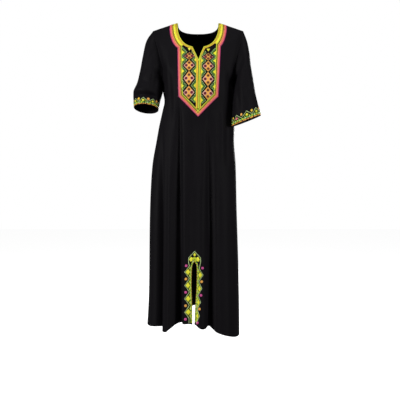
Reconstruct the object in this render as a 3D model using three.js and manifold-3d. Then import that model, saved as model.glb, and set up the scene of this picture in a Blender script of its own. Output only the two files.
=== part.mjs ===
// A jubba, as worn: a long A-line gown of black crepe with elbow sleeves, a scooped and
// notched neck, and embroidery on the neck, chest, cuffs and hem slit.
// Millimetres, +Z up. The origin is the middle of the shoulder line, where the wearer's
// shoulders carry the gown. The front faces -Y, and +X is the wearer's left.
import * as THREE from "three";
import { mergeVertices } from "three/addons/utils/BufferGeometryUtils.js";
import Module from "manifold-3d";

// ---- Driving dimensions -------------------------------------------------------------

const CLOTH = 1.2; // wall of the cloth
const SEAM_GAP = 0.3; // between pieces that are sewn together
const STITCHED = 1.0; // height of the embroidery on its panel

const UNDERARM_Z = -262;
const MEASURE_Z = -1250; // places across the hem, and depths of folds, are given here
const ROUNDING = 2.3; // exponent of the body sections, 2 is an ellipse

const SHOULDER_SLOPE = 0.335;
const SHOULDER_EASE = 16; // softens the bend of the shoulder line at the neck
const SHOULDER_ROUND = 110; // depth over which the cloth rolls off the shoulder
const SHOULDER_TIP_X = 190;
const SHOULDER_MID_X = 1.5;

const NECK_HALF_WIDTH = 88;
const NECK_ROUNDING = 2.6;
const NECK_DROP = { front: 115, back: 28 };
const NOTCH_HALF_WIDTH = 23;
const NOTCH_FOOT_Z = -170;
const BAND_WIDTH = 31;

const BIB_HALF_WIDTH = 81;
const BIB_TOP_Z = -119;
const BIB_CORNER_Z = -328;
const BIB_POINT = { x: 0.5, z: -408 };
const PLACKET_HALF_WIDTH = 11;
const PLACKET_FOOT_Z = -384;

const SLIT_TOP_Z = -989;
const BORDER = { headZ: -947, eavesZ: -975, eavesHalf: 25, step: 52, footZ: -1240 };
// The border's half diamonds: where the first tip lies, and how far tips and waists reach
// from the centre line at the first tip and at the foot.
const BORDER_SIDES = {
  low: { firstZ: -1031, tip: 39, tipAtFoot: 35, waist: 23, waistAtFoot: 19 },
  high: { firstZ: -1041, tip: 35, tipAtFoot: 21, waist: 22, waistAtFoot: 11 },
};
const CUFF_BAND_INSET = 2; // the cuff's band starts this far past the ring above it

// Body sections from the top down. low and high are the sides towards -X and +X, mid is
// the centre line of front and back.
const BODY = [
  { z: 20, low: -252, mid: 1.5, high: 255, front: -68, back: 66 },
  { z: -50, low: -238, mid: 1.5, high: 241, front: -76, back: 94 },
  { z: -100, low: -225, mid: 1.5, high: 228, front: -86, back: 106 },
  { z: -160, low: -201, mid: 1.5, high: 204, front: -101, back: 112 },
  { z: -220, low: -167, mid: 1.5, high: 171, front: -118, back: 113 },
  { z: -262, low: -149, mid: 1.5, high: 152, front: -126, back: 112 },
  { z: -290, low: -145, mid: 1.5, high: 149.5, front: -128, back: 110 },
  { z: -330, low: -142, mid: 1.5, high: 147, front: -126, back: 105 },
  { z: -380, low: -149, mid: 1, high: 146, front: -122, back: 100 },
  { z: -434, low: -161, mid: 0, high: 151, front: -122, back: 100 },
  { z: -500, low: -173, mid: -1.6, high: 149, front: -126, back: 108 },
  { z: -600, low: -190, mid: -4, high: 156, front: -134, back: 126 },
  { z: -780, low: -199, mid: -8, high: 160, front: -142, back: 148 },
  { z: -1035, low: -203, mid: -13.5, high: 168, front: -158, back: 168 },
  { z: -1160, low: -207, mid: -15.5, high: 170, front: -170, back: 182 },
  { z: -1310, low: -216, mid: -18, high: 172, front: -187, back: 200 },
];

// Height of the hem against the place across it.
const HEM = [
  { x: -216, front: -1263, back: -1263 },
  { x: -166, front: -1250, back: -1268 },
  { x: -146, front: -1260, back: -1266 },
  { x: -118, front: -1251, back: -1254 },
  { x: -90, front: -1227, back: -1246 },
  { x: -16, front: -1229, back: -1226 },
  { x: 4, front: -1242, back: -1228 },
  { x: 26, front: -1249, back: -1234 },
  { x: 42, front: -1241, back: -1238 },
  { x: 57, front: -1244, back: -1244 },
  { x: 74, front: -1260, back: -1251 },
  { x: 125, front: -1280, back: -1275 },
  { x: 175, front: -1301, back: -1301 },
];

// Half the width of the hem slit.
const SLIT = [
  { z: -989, half: 0 },
  { z: -1001, half: 6.5 },
  { z: -1025, half: 9.3 },
  { z: -1085, half: 9.3 },
  { z: -1150, half: 6.5 },
  { z: -1310, half: 4.5 },
];

// Hanging folds. topX and hemX are the fold's places at its start and at the hem, start is
// where it begins, reach its half width, and depth how far it falls in at the hem (out if
// negative).
const FOLD_GROWTH = 1.3; // a fold deepens with this power of the way down
const FOLDS = [
  { face: "front", topX: -76, hemX: -76, start: -430, reach: 13, depth: 30 },
  { face: "front", topX: -148, hemX: -167, start: -640, reach: 20, depth: 17 },
  { face: "front", topX: 57, hemX: 57, start: -470, reach: 18, depth: 17 },
  { face: "front", topX: -113, hemX: -120, start: -560, reach: 24, depth: -7 },
  { face: "front", topX: 108, hemX: 116, start: -600, reach: 34, depth: -9 },
  { face: "back", topX: -104, hemX: -132, start: -620, reach: 19, depth: 22 },
  { face: "back", topX: -34, hemX: -46, start: -470, reach: 22, depth: 20 },
  { face: "back", topX: 36, hemX: 44, start: -540, reach: 17, depth: 26 },
  { face: "back", topX: 92, hemX: 112, start: -660, reach: 19, depth: 18 },
  { face: "back", topX: 0, hemX: 0, start: -600, reach: 26, depth: -8 },
];

// Lines down the panels: straight ones hang plumb at x, spread ones part the angle that
// is left to the side seam.
const LINES = {
  front: {
    low: { straight: [-30, -50, -64, -76, -88, -104], spread: [0.13, 0.26, 0.37, 0.5, 0.66, 0.83, 1] },
    high: { straight: [16, 34, 46, 57, 68, 84], spread: [0.16, 0.32, 0.5, 0.66, 0.83, 1] },
  },
  back: {
    low: { straight: [-22, -40, -58, -80], spread: [0.14, 0.28, 0.42, 0.56, 0.7, 0.85, 1] },
    high: { straight: [18, 32, 44, 60, 80], spread: [0.16, 0.33, 0.5, 0.66, 0.83, 1] },
  },
};

// Rows of points. Above the underarm they run from the neck and centre line out to the
// armhole; below it they are parts of the way down to the hem.
const UPPER_ROWS = 12;
const NECK_ROWS = { front: 7, back: 5 }; // rows that end on the neck's curve
const NOTCH_ROWS = 3; // rows that end on the notch, its foot included
const SLIT_START = 0.751; // the row at the top of the slit
const ABOVE_SLIT = [0.03, 0.07, 0.12, 0.18, 0.245, 0.34, 0.44, 0.55, 0.65];
const LOWER_ROWS = [...ABOVE_SLIT, SLIT_START, 0.764, 0.81, 0.87, 0.935, 1];

// Sleeve rings after the armhole. outer and inner are the ends of each ring seen from the
// front, y its middle, depth half its front-to-back size, lift the rise of its front edge.
const SLEEVE = {
  low: [
    { outerX: -214, outerZ: -75, innerX: -152, innerZ: -272, y: -3, depth: 69, lift: 0 },
    { outerX: -230, outerZ: -145, innerX: -154.5, innerZ: -284, y: -9, depth: 68, lift: 2 },
    { outerX: -243, outerZ: -210, innerX: -157, innerZ: -300, y: -15, depth: 66, lift: 5 },
    { outerX: -254.5, outerZ: -258, innerX: -159.5, innerZ: -314, y: -20, depth: 65, lift: 8 },
    { outerX: -265, outerZ: -285, innerX: -161, innerZ: -322, y: -23, depth: 64, lift: 10 },
    { outerX: -266, outerZ: -318, innerX: -163, innerZ: -333, y: -25, depth: 63, lift: 11 },
    { outerX: -266.5, outerZ: -360, innerX: -167, innerZ: -368, y: -28, depth: 62, lift: 11 },
  ],
  high: [
    { outerX: 204, outerZ: -80, innerX: 151.6, innerZ: -273, y: -12, depth: 69, lift: 0 },
    { outerX: 211.5, outerZ: -135, innerX: 148.2, innerZ: -292, y: -32, depth: 68, lift: 1 },
    { outerX: 216, outerZ: -190, innerX: 145.4, innerZ: -318, y: -46, depth: 66, lift: 2 },
    { outerX: 225, outerZ: -250, innerX: 143.4, innerZ: -344, y: -56, depth: 65, lift: 2 },
    { outerX: 233, outerZ: -305, innerX: 142.5, innerZ: -374, y: -62, depth: 64, lift: 1 },
    { outerX: 244.5, outerZ: -352, innerX: 141.5, innerZ: -403, y: -68, depth: 62, lift: 0 },
    { outerX: 259, outerZ: -396, innerX: 141, innerZ: -443, y: -72, depth: 60, lift: -2 },
  ],
};

const FACES = { front: -1, back: 1 };
const SIDES = { low: -1, high: 1 };

// ---- Small helpers ------------------------------------------------------------------

// Smooth value of one column of a table whose rows are sorted by the key column.
function lookUp(table, key, column, at) {
  const rising = table[1][key] > table[0][key];
  const last = table.length - 1;
  let i = table.findIndex((row) => (rising ? row[key] > at : row[key] < at)) - 1;
  if (i < -1) i = last - 1;
  if (i < 0) i = 0;
  const slope = (a, b) => (table[b][column] - table[a][column]) / (table[b][key] - table[a][key]);
  const startSlope = slope(Math.max(i - 1, 0), i + 1);
  const endSlope = slope(i, Math.min(i + 2, last));
  const span = table[i + 1][key] - table[i][key];
  const t = THREE.MathUtils.clamp((at - table[i][key]) / span, 0, 1);
  const smooth = t * t * (3 - 2 * t);
  return (
    table[i][column] * (1 - smooth) +
    table[i + 1][column] * smooth +
    span * t * (1 - t) * ((1 - t) * startSlope - t * endSlope)
  );
}

// The other leg of a superellipse of size 1.
const superLeg = (leg, power) => Math.pow(Math.max(0, 1 - Math.pow(Math.abs(leg), power)), 1 / power);

const mix = (a, b, t) => a + (b - a) * t;

// ---- The surface of the body --------------------------------------------------------

const halfWidth = (side, z) => Math.abs(lookUp(BODY, "z", side, z) - lookUp(BODY, "z", "mid", z));

const easedStep = (a) => (a + Math.hypot(a, SHOULDER_EASE)) / 2;

// Height of the shoulder line.
function shoulderZ(x) {
  const past = Math.abs(x - SHOULDER_MID_X) - NECK_HALF_WIDTH;
  return SHOULDER_SLOPE * (easedStep(0) - easedStep(past));
}

// How far the cloth has rolled off the shoulder, 0 on the seam and 1 well below it.
function rollOff(x, z) {
  const down = THREE.MathUtils.clamp((shoulderZ(x) - z) / SHOULDER_ROUND, 0, 1);
  return Math.sqrt(1 - (1 - down) ** 2);
}

// A point of the unfolded section: at part t of the half width, on one side.
function sectionPoint(face, side, t, z) {
  const x = lookUp(BODY, "z", "mid", z) + SIDES[side] * halfWidth(side, z) * t;
  const y = lookUp(BODY, "z", face, z) * superLeg(t, ROUNDING) * rollOff(x, z);
  return new THREE.Vector3(x, y, z);
}

// The level direction that points out of the section there.
function sectionOutward(face, side, t, z) {
  const across = Math.pow(t, ROUNDING - 1) / halfWidth(side, z);
  const deep = Math.pow(superLeg(t, ROUNDING), ROUNDING - 1) / Math.abs(lookUp(BODY, "z", face, z));
  return new THREE.Vector3(SIDES[side] * across, FACES[face] * deep, 0).normalize();
}

// Part of the half width at which x lies, and its side.
function placeAt(x, z) {
  const fromMid = x - lookUp(BODY, "z", "mid", z);
  const side = fromMid < 0 ? "low" : "high";
  return { side, t: Math.min(1, Math.abs(fromMid) / halfWidth(side, z)) };
}

// How far the folds push the cloth in at a point of the section.
function foldDepth(face, point) {
  let depth = 0;
  for (const fold of FOLDS) {
    if (fold.face !== face || point.z > fold.start) continue;
    const down = (point.z - fold.start) / (MEASURE_Z - fold.start);
    const place = placeAt(mix(fold.topX, fold.hemX, down), point.z);
    const away = sectionPoint(face, place.side, place.t, point.z).distanceTo(point);
    depth += fold.depth * Math.pow(down, FOLD_GROWTH) * Math.exp(-((away / fold.reach) ** 2));
  }
  return depth;
}

function bodyPoint(face, side, t, z) {
  const point = sectionPoint(face, side, t, z);
  point.addScaledVector(sectionOutward(face, side, t, z), -foldDepth(face, point));
  point.y += (FACES[face] * SEAM_GAP) / 2;
  return point;
}

// ---- Edges of the panels above the underarm -----------------------------------------

const TIP_Z = shoulderZ(SHOULDER_MID_X + SHOULDER_TIP_X);

// A point of the armhole. s goes from 0 at the underarm to 1 at the shoulder's tip.
function armholePlace(side, s) {
  const z = mix(UNDERARM_Z, TIP_Z, s);
  const tipReach = superLeg(SHOULDER_TIP_X / halfWidth(side, TIP_Z), ROUNDING);
  const t = superLeg(tipReach * Math.sqrt(1 - (1 - s) ** 4), ROUNDING);
  return { x: lookUp(BODY, "z", "mid", z) + SIDES[side] * halfWidth(side, z) * t, z };
}

const armholePart = (row) => (1 + Math.cos((Math.PI * row) / UPPER_ROWS)) / 2;

// The neck's curve, from the shoulder (turn 0) to the centre line (turn 1).
function neckPlace(face, side, turn, grow = 0) {
  const angle = (turn * Math.PI) / 2;
  const power = 2 / NECK_ROUNDING;
  return {
    x: SHOULDER_MID_X + SIDES[side] * (NECK_HALF_WIDTH + grow) * Math.cos(angle) ** power,
    z: -(NECK_DROP[face] + grow) * Math.sin(angle) ** power,
  };
}

// Where the notch meets the neck's curve.
const NOTCH_TURN = (Math.acos((NOTCH_HALF_WIDTH / NECK_HALF_WIDTH) ** (NECK_ROUNDING / 2)) * 2) / Math.PI;

// The inner end of an upper row: on the neck, on the notch or on the centre line.
function innerPlace(face, side, row) {
  const lastTurn = face === "front" ? NOTCH_TURN : 1;
  if (row <= NECK_ROWS[face]) return neckPlace(face, side, (lastTurn * row) / NECK_ROWS[face]);
  const corner = neckPlace(face, side, lastTurn);
  const foot = face === "front" ? NOTCH_FOOT_Z : corner.z;
  const notchRows = face === "front" ? NOTCH_ROWS : 0;
  const past = row - NECK_ROWS[face];
  if (past <= notchRows) {
    return { x: mix(corner.x, SHOULDER_MID_X, past / notchRows), z: mix(corner.z, foot, past / notchRows) };
  }
  const left = UPPER_ROWS - NECK_ROWS[face] - notchRows;
  return { x: SHOULDER_MID_X, z: mix(foot, UNDERARM_Z, (past - notchRows) / left) };
}

// ---- Panels -------------------------------------------------------------------------

const slitHalf = (z) => (z > SLIT_TOP_Z ? 0 : Math.max(0, lookUp(SLIT, "z", "half", z)));

// Part of the half width at which each line crosses the height z.
function lineParts(face, side, z) {
  const mid = lookUp(BODY, "z", "mid", z);
  const lines = LINES[face][side];
  const open = face === "front" ? slitHalf(z) : 0;
  const reaches = [open, ...lines.straight.map((x) => Math.abs(x - mid))];
  const parts = reaches.map((reach) => reach / halfWidth(side, z));
  const start = Math.asin(parts.at(-1) ** (ROUNDING / 2));
  const spread = lines.spread.map((q) => Math.sin(mix(start, Math.PI / 2, q)) ** (2 / ROUNDING));
  return [...parts, ...spread];
}

function upperRow(face, side, row) {
  const inner = innerPlace(face, side, row);
  const outer = armholePlace(side, armholePart(row));
  const parts = lineParts(face, side, UNDERARM_Z);
  const lines = parts.length - 1;
  return parts.map((part, line) => {
    const across = mix(line / lines, part, row / UPPER_ROWS);
    const x = mix(inner.x, outer.x, across);
    const z = row === 0 ? shoulderZ(x) : mix(inner.z, outer.z, across);
    return bodyPoint(face, side, Math.abs(x - lookUp(BODY, "z", "mid", z)) / halfWidth(side, z), z);
  });
}

function lowerRow(face, side, down) {
  const atHem = lineParts(face, side, MEASURE_Z);
  return atHem.map((part, line) => {
    const hemX = lookUp(BODY, "z", "mid", MEASURE_Z) + SIDES[side] * halfWidth(side, MEASURE_Z) * part;
    const z = mix(UNDERARM_Z, lookUp(HEM, "x", face, hemX), down);
    return bodyPoint(face, side, lineParts(face, side, z)[line], z);
  });
}

// A sheet of quads: its points, and the four corners of each quad, turning left as seen
// from outside.
class Sheet {
  constructor() {
    this.points = [];
    this.quads = [];
    this.pinned = new Map(); // point number -> function that corrects its outward direction
  }

  add(point) {
    this.points.push(point);
    return this.points.length - 1;
  }

  // Quads between two rows of point numbers, flip turns them over.
  join(upper, lower, flip) {
    for (let i = 0; i + 1 < upper.length; i += 1) {
      const quad = [upper[i], lower[i], lower[i + 1], upper[i + 1]];
      this.quads.push(flip ? quad.reverse() : quad);
    }
  }

  outward() {
    const directions = this.points.map(() => new THREE.Vector3());
    for (const quad of this.quads) {
      const [a, b, c, d] = quad.map((number) => this.points[number]);
      const face = c.clone().sub(a).cross(d.clone().sub(b));
      for (const number of quad) directions[number].add(face);
    }
    directions.forEach((direction, number) => {
      direction.normalize();
      if (this.pinned.has(number)) this.pinned.get(number)(direction);
      direction.normalize();
    });
    return directions;
  }

  // The closed wall between two distances from the sheet, as a geometry.
  wall(from, to) {
    const outward = this.outward();
    const layer = (distance) =>
      this.points.map((point, i) => point.clone().addScaledVector(outward[i], distance));
    const count = this.points.length;
    const triangles = [];
    const edges = new Map();
    for (const [a, b, c, d] of this.quads) {
      triangles.push([a, b, c], [a, c, d]);
      triangles.push([c + count, b + count, a + count], [d + count, c + count, a + count]);
      for (const [start, end] of [[a, b], [b, c], [c, d], [d, a]]) {
        if (!edges.delete(`${end} ${start}`)) edges.set(`${start} ${end}`, [start, end]);
      }
    }
    for (const [start, end] of edges.values()) {
      triangles.push([start + count, end, start], [start + count, end + count, end]);
    }
    return closedGeometry([...layer(to), ...layer(from)], triangles);
  }
}

function closedGeometry(points, triangles) {
  const geometry = new THREE.BufferGeometry();
  geometry.setAttribute("position", new THREE.Float32BufferAttribute(points.flatMap((p) => p.toArray()), 3));
  geometry.setIndex(triangles.flat());
  return mergeVertices(geometry, 1e-3);
}

const flatten = (axis) => (direction) => {
  direction[axis] = 0;
};

// One panel of the body, front or back, as a sheet.
function bodySheet(face) {
  const sheet = new Sheet();
  const slitFrom = face === "front" ? UPPER_ROWS + ABOVE_SLIT.length + 1 : Infinity;
  const closedFrom = face === "front" ? NECK_ROWS.front + NOTCH_ROWS : NECK_ROWS.back;
  const rowCount = UPPER_ROWS + LOWER_ROWS.length + 1;
  const centre = new Map(); // row -> number of the point that both halves share
  for (const side of ["low", "high"]) {
    let above = null;
    for (let row = 0; row < rowCount; row += 1) {
      const down = LOWER_ROWS[row - UPPER_ROWS - 1];
      const points = row <= UPPER_ROWS ? upperRow(face, side, row) : lowerRow(face, side, down);
      const shared = row >= closedFrom && row <= slitFrom;
      const numbers = points.map((point, line) => {
        if (line > 0 || !shared) return sheet.add(point);
        if (!centre.has(row)) centre.set(row, sheet.add(point));
        return centre.get(row);
      });
      if (row === 0) numbers.forEach((number) => sheet.pinned.set(number, flatten("y")));
      if (row >= UPPER_ROWS) sheet.pinned.set(numbers.at(-1), flatten("y"));
      if (above) sheet.join(above, numbers, (side === "low") === (face === "front"));
      above = numbers;
    }
  }
  return sheet;
}

// ---- Sleeves ------------------------------------------------------------------------

// The armhole's points, from the shoulder's tip by the front and the underarm to the back.
function armholeRing(side) {
  const ring = [];
  for (let step = 0; step < 2 * UPPER_ROWS; step += 1) {
    const row = step <= UPPER_ROWS ? step : 2 * UPPER_ROWS - step;
    const face = step <= UPPER_ROWS ? "front" : "back";
    const { x, z } = armholePlace(side, armholePart(row));
    const part = Math.min(1, Math.abs(x - lookUp(BODY, "z", "mid", z)) / halfWidth(side, z));
    const point = sectionPoint(face, side, part, z);
    point.x += SIDES[side] * SEAM_GAP;
    ring.push(point);
  }
  return ring;
}

function sleeveRing(row) {
  const middle = new THREE.Vector3((row.outerX + row.innerX) / 2, row.y, (row.outerZ + row.innerZ) / 2);
  const toOuter = new THREE.Vector3(row.outerX, row.y, row.outerZ).sub(middle);
  const toFront = new THREE.Vector3(0, -row.depth, row.lift);
  return Array.from({ length: 2 * UPPER_ROWS }, (_, step) => {
    const angle = (Math.PI * step) / UPPER_ROWS;
    return middle.clone().addScaledVector(toOuter, Math.cos(angle)).addScaledVector(toFront, Math.sin(angle));
  });
}

// A tube of cloth through rings of points. awayFrom keeps the first ring's wall off the body.
function tubeSheet(rings, side, awayFrom) {
  const sheet = new Sheet();
  let above = null;
  rings.forEach((ring, index) => {
    const numbers = ring.map((point) => sheet.add(point));
    if (index === 0 && awayFrom) {
      for (const number of numbers) {
        sheet.pinned.set(number, (direction) => {
          direction.x = SIDES[side] * Math.min(0, SIDES[side] * direction.x);
        });
      }
    }
    numbers.push(numbers[0]);
    if (above) sheet.join(above, numbers, side === "high");
    above = numbers;
  });
  return sheet;
}

function sleeveSheet(side) {
  return tubeSheet([armholeRing(side), ...SLEEVE[side].map(sleeveRing)], side, true);
}

// The cuff's band lies on the last stretch of the sleeve.
function cuffGeometry(side) {
  const [above, end] = SLEEVE[side].slice(-2).map(sleeveRing);
  const inset = (point, i) => point.clone().lerp(end[i], CUFF_BAND_INSET / point.distanceTo(end[i]));
  const start = above.map(inset);
  return tubeSheet([start, end], side, false).wall(SEAM_GAP, SEAM_GAP + STITCHED);
}

// ---- Embroidered pieces, cut out of a copy of the panel that is moved out ------------

const wasm = await Module();
wasm.setup();

function solidOf(geometry) {
  const positions = geometry.clone();
  positions.deleteAttribute("normal");
  positions.deleteAttribute("uv");
  const merged = mergeVertices(positions, 1e-3);
  return new wasm.Manifold(
    new wasm.Mesh({
      numProp: 3,
      vertProperties: new Float32Array(merged.attributes.position.array),
      triVerts: new Uint32Array(merged.index.array),
    }),
  );
}

function geometryOf(solid) {
  const mesh = solid.getMesh();
  const geometry = new THREE.BufferGeometry();
  geometry.setAttribute("position", new THREE.BufferAttribute(new Float32Array(mesh.vertProperties), 3));
  geometry.setIndex(new THREE.BufferAttribute(new Uint32Array(mesh.triVerts), 1));
  return geometry;
}

const CUTTER_DEPTH = 400;

// A cutter with the outline given in x and z, that reaches out from the middle of the body.
function cutter(face, outline) {
  const shape = new THREE.Shape(outline.map(({ x, z }) => new THREE.Vector2(x, z)));
  const geometry = new THREE.ExtrudeGeometry(shape, { depth: CUTTER_DEPTH, bevelEnabled: false });
  geometry.rotateX(Math.PI / 2);
  if (face === "back") geometry.translate(0, CUTTER_DEPTH, 0);
  return solidOf(geometry);
}

const box = (x0, x1, z0, z1) => [
  { x: x0, z: z0 },
  { x: x1, z: z0 },
  { x: x1, z: z1 },
  { x: x0, z: z1 },
];

const CURVE_STEPS = 14;
const ABOVE_NECK = 40; // clear of the shoulders

// Half of the band's outside edge, closed over the neck, for one side.
function bandOutline(face, side, grow) {
  const turns = Array.from({ length: CURVE_STEPS + 1 }, (_, i) => i / CURVE_STEPS);
  const edge = turns.map((turn) => neckPlace(face, side, turn, grow));
  const first = edge[0];
  return [{ x: first.x, z: ABOVE_NECK }, ...edge, { x: SHOULDER_MID_X, z: ABOVE_NECK }];
}

function bibOutline() {
  const { x, z } = BIB_POINT;
  return [
    { x: SHOULDER_MID_X - BIB_HALF_WIDTH, z: BIB_TOP_Z },
    { x: SHOULDER_MID_X - BIB_HALF_WIDTH, z: BIB_CORNER_Z },
    { x, z },
    { x: SHOULDER_MID_X + BIB_HALF_WIDTH, z: BIB_CORNER_Z },
    { x: SHOULDER_MID_X + BIB_HALF_WIDTH, z: BIB_TOP_Z },
  ];
}

// The slit's border: a pointed head, then half diamonds down each side.
function borderOutline() {
  const place = (side, reach, z) => ({ x: lookUp(BODY, "z", "mid", z) + SIDES[side] * reach, z });
  const half = (side) => {
    const { firstZ, tip, tipAtFoot, waist, waistAtFoot } = BORDER_SIDES[side];
    const points = [place(side, BORDER.eavesHalf, BORDER.eavesZ)];
    for (let z = firstZ; z > BORDER.footZ - BORDER.step; z -= BORDER.step) {
      const down = (firstZ - z) / (firstZ - BORDER.footZ);
      points.push(place(side, mix(waist, waistAtFoot, down), z + BORDER.step / 2));
      points.push(place(side, mix(tip, tipAtFoot, down), z));
    }
    return points;
  };
  return [place("low", 0, BORDER.headZ), ...half("low"), ...half("high").reverse()];
}

function embroideredPieces(sheets) {
  const raised = {
    front: solidOf(sheets.front.wall(SEAM_GAP, SEAM_GAP + STITCHED)),
    back: solidOf(sheets.back.wall(SEAM_GAP, SEAM_GAP + STITCHED)),
  };
  const band = (face, side) => cutter(face, bandOutline(face, side, BAND_WIDTH));
  const overBand = (side) => cutter("front", bandOutline("front", side, BAND_WIDTH + SEAM_GAP));
  const middle = lookUp(BODY, "z", "mid", PLACKET_FOOT_Z);
  const strip = (grow) => {
    const half = PLACKET_HALF_WIDTH + grow;
    const topZ = grow - NECK_DROP.front - BAND_WIDTH - SEAM_GAP;
    return cutter("front", box(middle - half, middle + half, PLACKET_FOOT_Z - grow, topZ));
  };
  const bib = cutter("front", bibOutline()).subtract(overBand("low")).subtract(overBand("high"));
  return {
    neck_band_left: raised.front.intersect(band("front", "high")),
    neck_band_right: raised.front.intersect(band("front", "low")),
    neck_band_back: raised.back.intersect(band("back", "high").add(band("back", "low"))),
    bib: raised.front.intersect(bib.subtract(strip(SEAM_GAP))),
    placket: raised.front.intersect(strip(0)),
    slit_border: raised.front.intersect(cutter("front", borderOutline())),
  };
}

// ---- The gown -----------------------------------------------------------------------

const crepe = { color: 0x141417, roughness: 0.72, metalness: 0 };
const thread = (color) => ({ color, roughness: 0.5, metalness: 0 });
const FINISHES = {
  neck_band: thread(0xe8cf1c),
  bib: thread(0xe98a2c),
  placket: thread(0xd9d62a),
  slit_border: thread(0x7ecb2a),
  cuff_band: thread(0xa8cc2a),
};

function piece(name, geometry, finish) {
  const mesh = new THREE.Mesh(geometry, new THREE.MeshStandardMaterial(finish));
  mesh.name = name;
  return mesh;
}

function buildGown() {
  const gown = new THREE.Group();
  const sheets = { front: bodySheet("front"), back: bodySheet("back") };
  gown.add(piece("front_panel", sheets.front.wall(-CLOTH, 0), crepe));
  gown.add(piece("back_panel", sheets.back.wall(-CLOTH, 0), crepe));
  for (const [side, name] of [["high", "left"], ["low", "right"]]) {
    gown.add(piece(`sleeve_${name}`, sleeveSheet(side).wall(-CLOTH, 0), crepe));
    gown.add(piece(`cuff_band_${name}`, cuffGeometry(side), FINISHES.cuff_band));
  }
  for (const [name, solid] of Object.entries(embroideredPieces(sheets))) {
    const finish = name.startsWith("neck_band") ? FINISHES.neck_band : FINISHES[name];
    gown.add(piece(name, geometryOf(solid), finish));
  }
  return gown;
}

export default buildGown();
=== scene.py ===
import math

import bpy
import numpy as np
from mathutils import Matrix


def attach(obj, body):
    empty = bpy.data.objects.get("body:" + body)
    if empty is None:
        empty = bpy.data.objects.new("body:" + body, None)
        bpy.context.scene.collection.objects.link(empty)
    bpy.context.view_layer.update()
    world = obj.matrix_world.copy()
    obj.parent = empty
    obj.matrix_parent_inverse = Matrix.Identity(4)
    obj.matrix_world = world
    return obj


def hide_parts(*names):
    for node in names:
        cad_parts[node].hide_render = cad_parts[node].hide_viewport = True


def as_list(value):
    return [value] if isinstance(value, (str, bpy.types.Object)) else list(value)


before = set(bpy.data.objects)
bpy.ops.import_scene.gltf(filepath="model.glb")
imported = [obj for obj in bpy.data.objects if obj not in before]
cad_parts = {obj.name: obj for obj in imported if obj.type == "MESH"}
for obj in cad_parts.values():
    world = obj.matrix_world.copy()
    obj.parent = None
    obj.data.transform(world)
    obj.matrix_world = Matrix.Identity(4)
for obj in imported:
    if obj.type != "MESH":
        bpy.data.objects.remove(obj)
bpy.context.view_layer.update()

MM = 0.001

FRONT, BACK = -1, 1
LOW, HIGH = -1, 1  # the sides towards -X and +X
SIDE_NAMES = {LOW: "right", HIGH: "left"}  # as the wearer says it

# ---- Camera, light and floor ---------------------------------------------------------

VIEW_DISTANCE = 2400
VIEW_X, VIEW_Z = 9.35, -703.4
VIEW_DOWN = math.radians(1.01)
VIEW_WIDTH = 1700  # what the view takes in at the gown
SENSOR = 36
FLOOR_Z = -1495


def place_camera():
    data = bpy.data.cameras.new("view")
    data.sensor_width = SENSOR
    data.lens = SENSOR * VIEW_DISTANCE / VIEW_WIDTH
    camera = bpy.data.objects.new("view", data)
    camera.location = (VIEW_X * MM, -VIEW_DISTANCE * MM, VIEW_Z * MM)
    camera.rotation_euler = (math.pi / 2 - VIEW_DOWN, 0, 0)
    bpy.context.scene.collection.objects.link(camera)
    bpy.context.scene.camera = camera


# The soft lights, in metres and watts: the place of each, the height on the middle line
# that it is aimed at, its size and its power.
LIGHTS = (
    ("window", (-2.75, -2.0, 0.0), -0.7, 0.9, 104),
    ("far_window", (2.8, -2.0, -0.1), -0.7, 0.9, 74),
    ("overhead", (0.2, -0.9, 1.9), -0.6, 1.2, 22),
    ("rear_window", (0.9, 3.0, 0.2), -0.7, 1.0, 80),
)
ROOM_LIGHT = 0.09  # strength of the room's own light on the gown
FLOOR_REACH = 9.0  # metres


def soft_light(name, place, aim_z, size, power):
    data = bpy.data.lights.new(name, "AREA")
    data.size = size
    data.energy = power
    light = bpy.data.objects.new(name, data)
    light.location = place
    way = np.array((0, 0, aim_z)) - np.array(place)
    light.rotation_euler = (
        math.acos(-way[2] / np.linalg.norm(way)),
        0,
        math.atan2(way[1], way[0]) - math.pi / 2,
    )
    bpy.context.scene.collection.objects.link(light)


# ---- Materials -----------------------------------------------------------------------


class Value:
    """An output socket that reckons like a number."""

    def __init__(self, finish, socket):
        self.finish = finish
        self.socket = socket

    def __add__(self, other):
        return self.finish.reckon("ADD", self, other)

    def __sub__(self, other):
        return self.finish.reckon("SUBTRACT", self, other)

    def __rsub__(self, other):
        return self.finish.reckon("SUBTRACT", other, self)

    def __mul__(self, other):
        return self.finish.reckon("MULTIPLY", self, other)

    __radd__ = __add__
    __rmul__ = __mul__


class Finish:
    """A material that is built up from nodes."""

    def __init__(self, name):
        self.material = bpy.data.materials.new(name)
        self.material.use_nodes = True
        self.tree = self.material.node_tree
        self.tree.nodes.clear()

    def node(self, kind, settings=None, sockets=None, output=0):
        """Adds a node: its settings first, then the values or links of its sockets."""
        node = self.tree.nodes.new(kind)
        for name, setting in (settings or {}).items():
            setattr(node, name, setting)
        for name, value in (sockets or {}).items():
            if isinstance(value, Value):
                self.tree.links.new(value.socket, node.inputs[name])
            else:
                node.inputs[name].default_value = value
        return Value(self, node.outputs[output])

    def reckon(self, operation, *terms):
        return self.node("ShaderNodeMath", {"operation": operation}, dict(enumerate(terms)))

    def blend(self, part, first, second):
        """The colour that is this part of the way from the first to the second."""
        sockets = {0: part, 6: first, 7: second}  # by number, as their names repeat
        return self.node("ShaderNodeMix", {"data_type": "RGBA"}, sockets, output=2)

    def noise(self, place, scale, detail=2.0, rough=0.5):
        sockets = {"Vector": place, "Scale": scale, "Detail": detail, "Roughness": rough}
        return self.node("ShaderNodeTexNoise", None, sockets)

    def stretched(self, place, scale):
        return self.node("ShaderNodeMapping", None, {"Vector": place, "Scale": scale})

    def finish_with(self, sockets):
        shader = self.node("ShaderNodeBsdfPrincipled", None, sockets)
        out = self.tree.nodes.new("ShaderNodeOutputMaterial")
        self.tree.links.new(shader.socket, out.inputs["Surface"])
        return self.material


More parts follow.
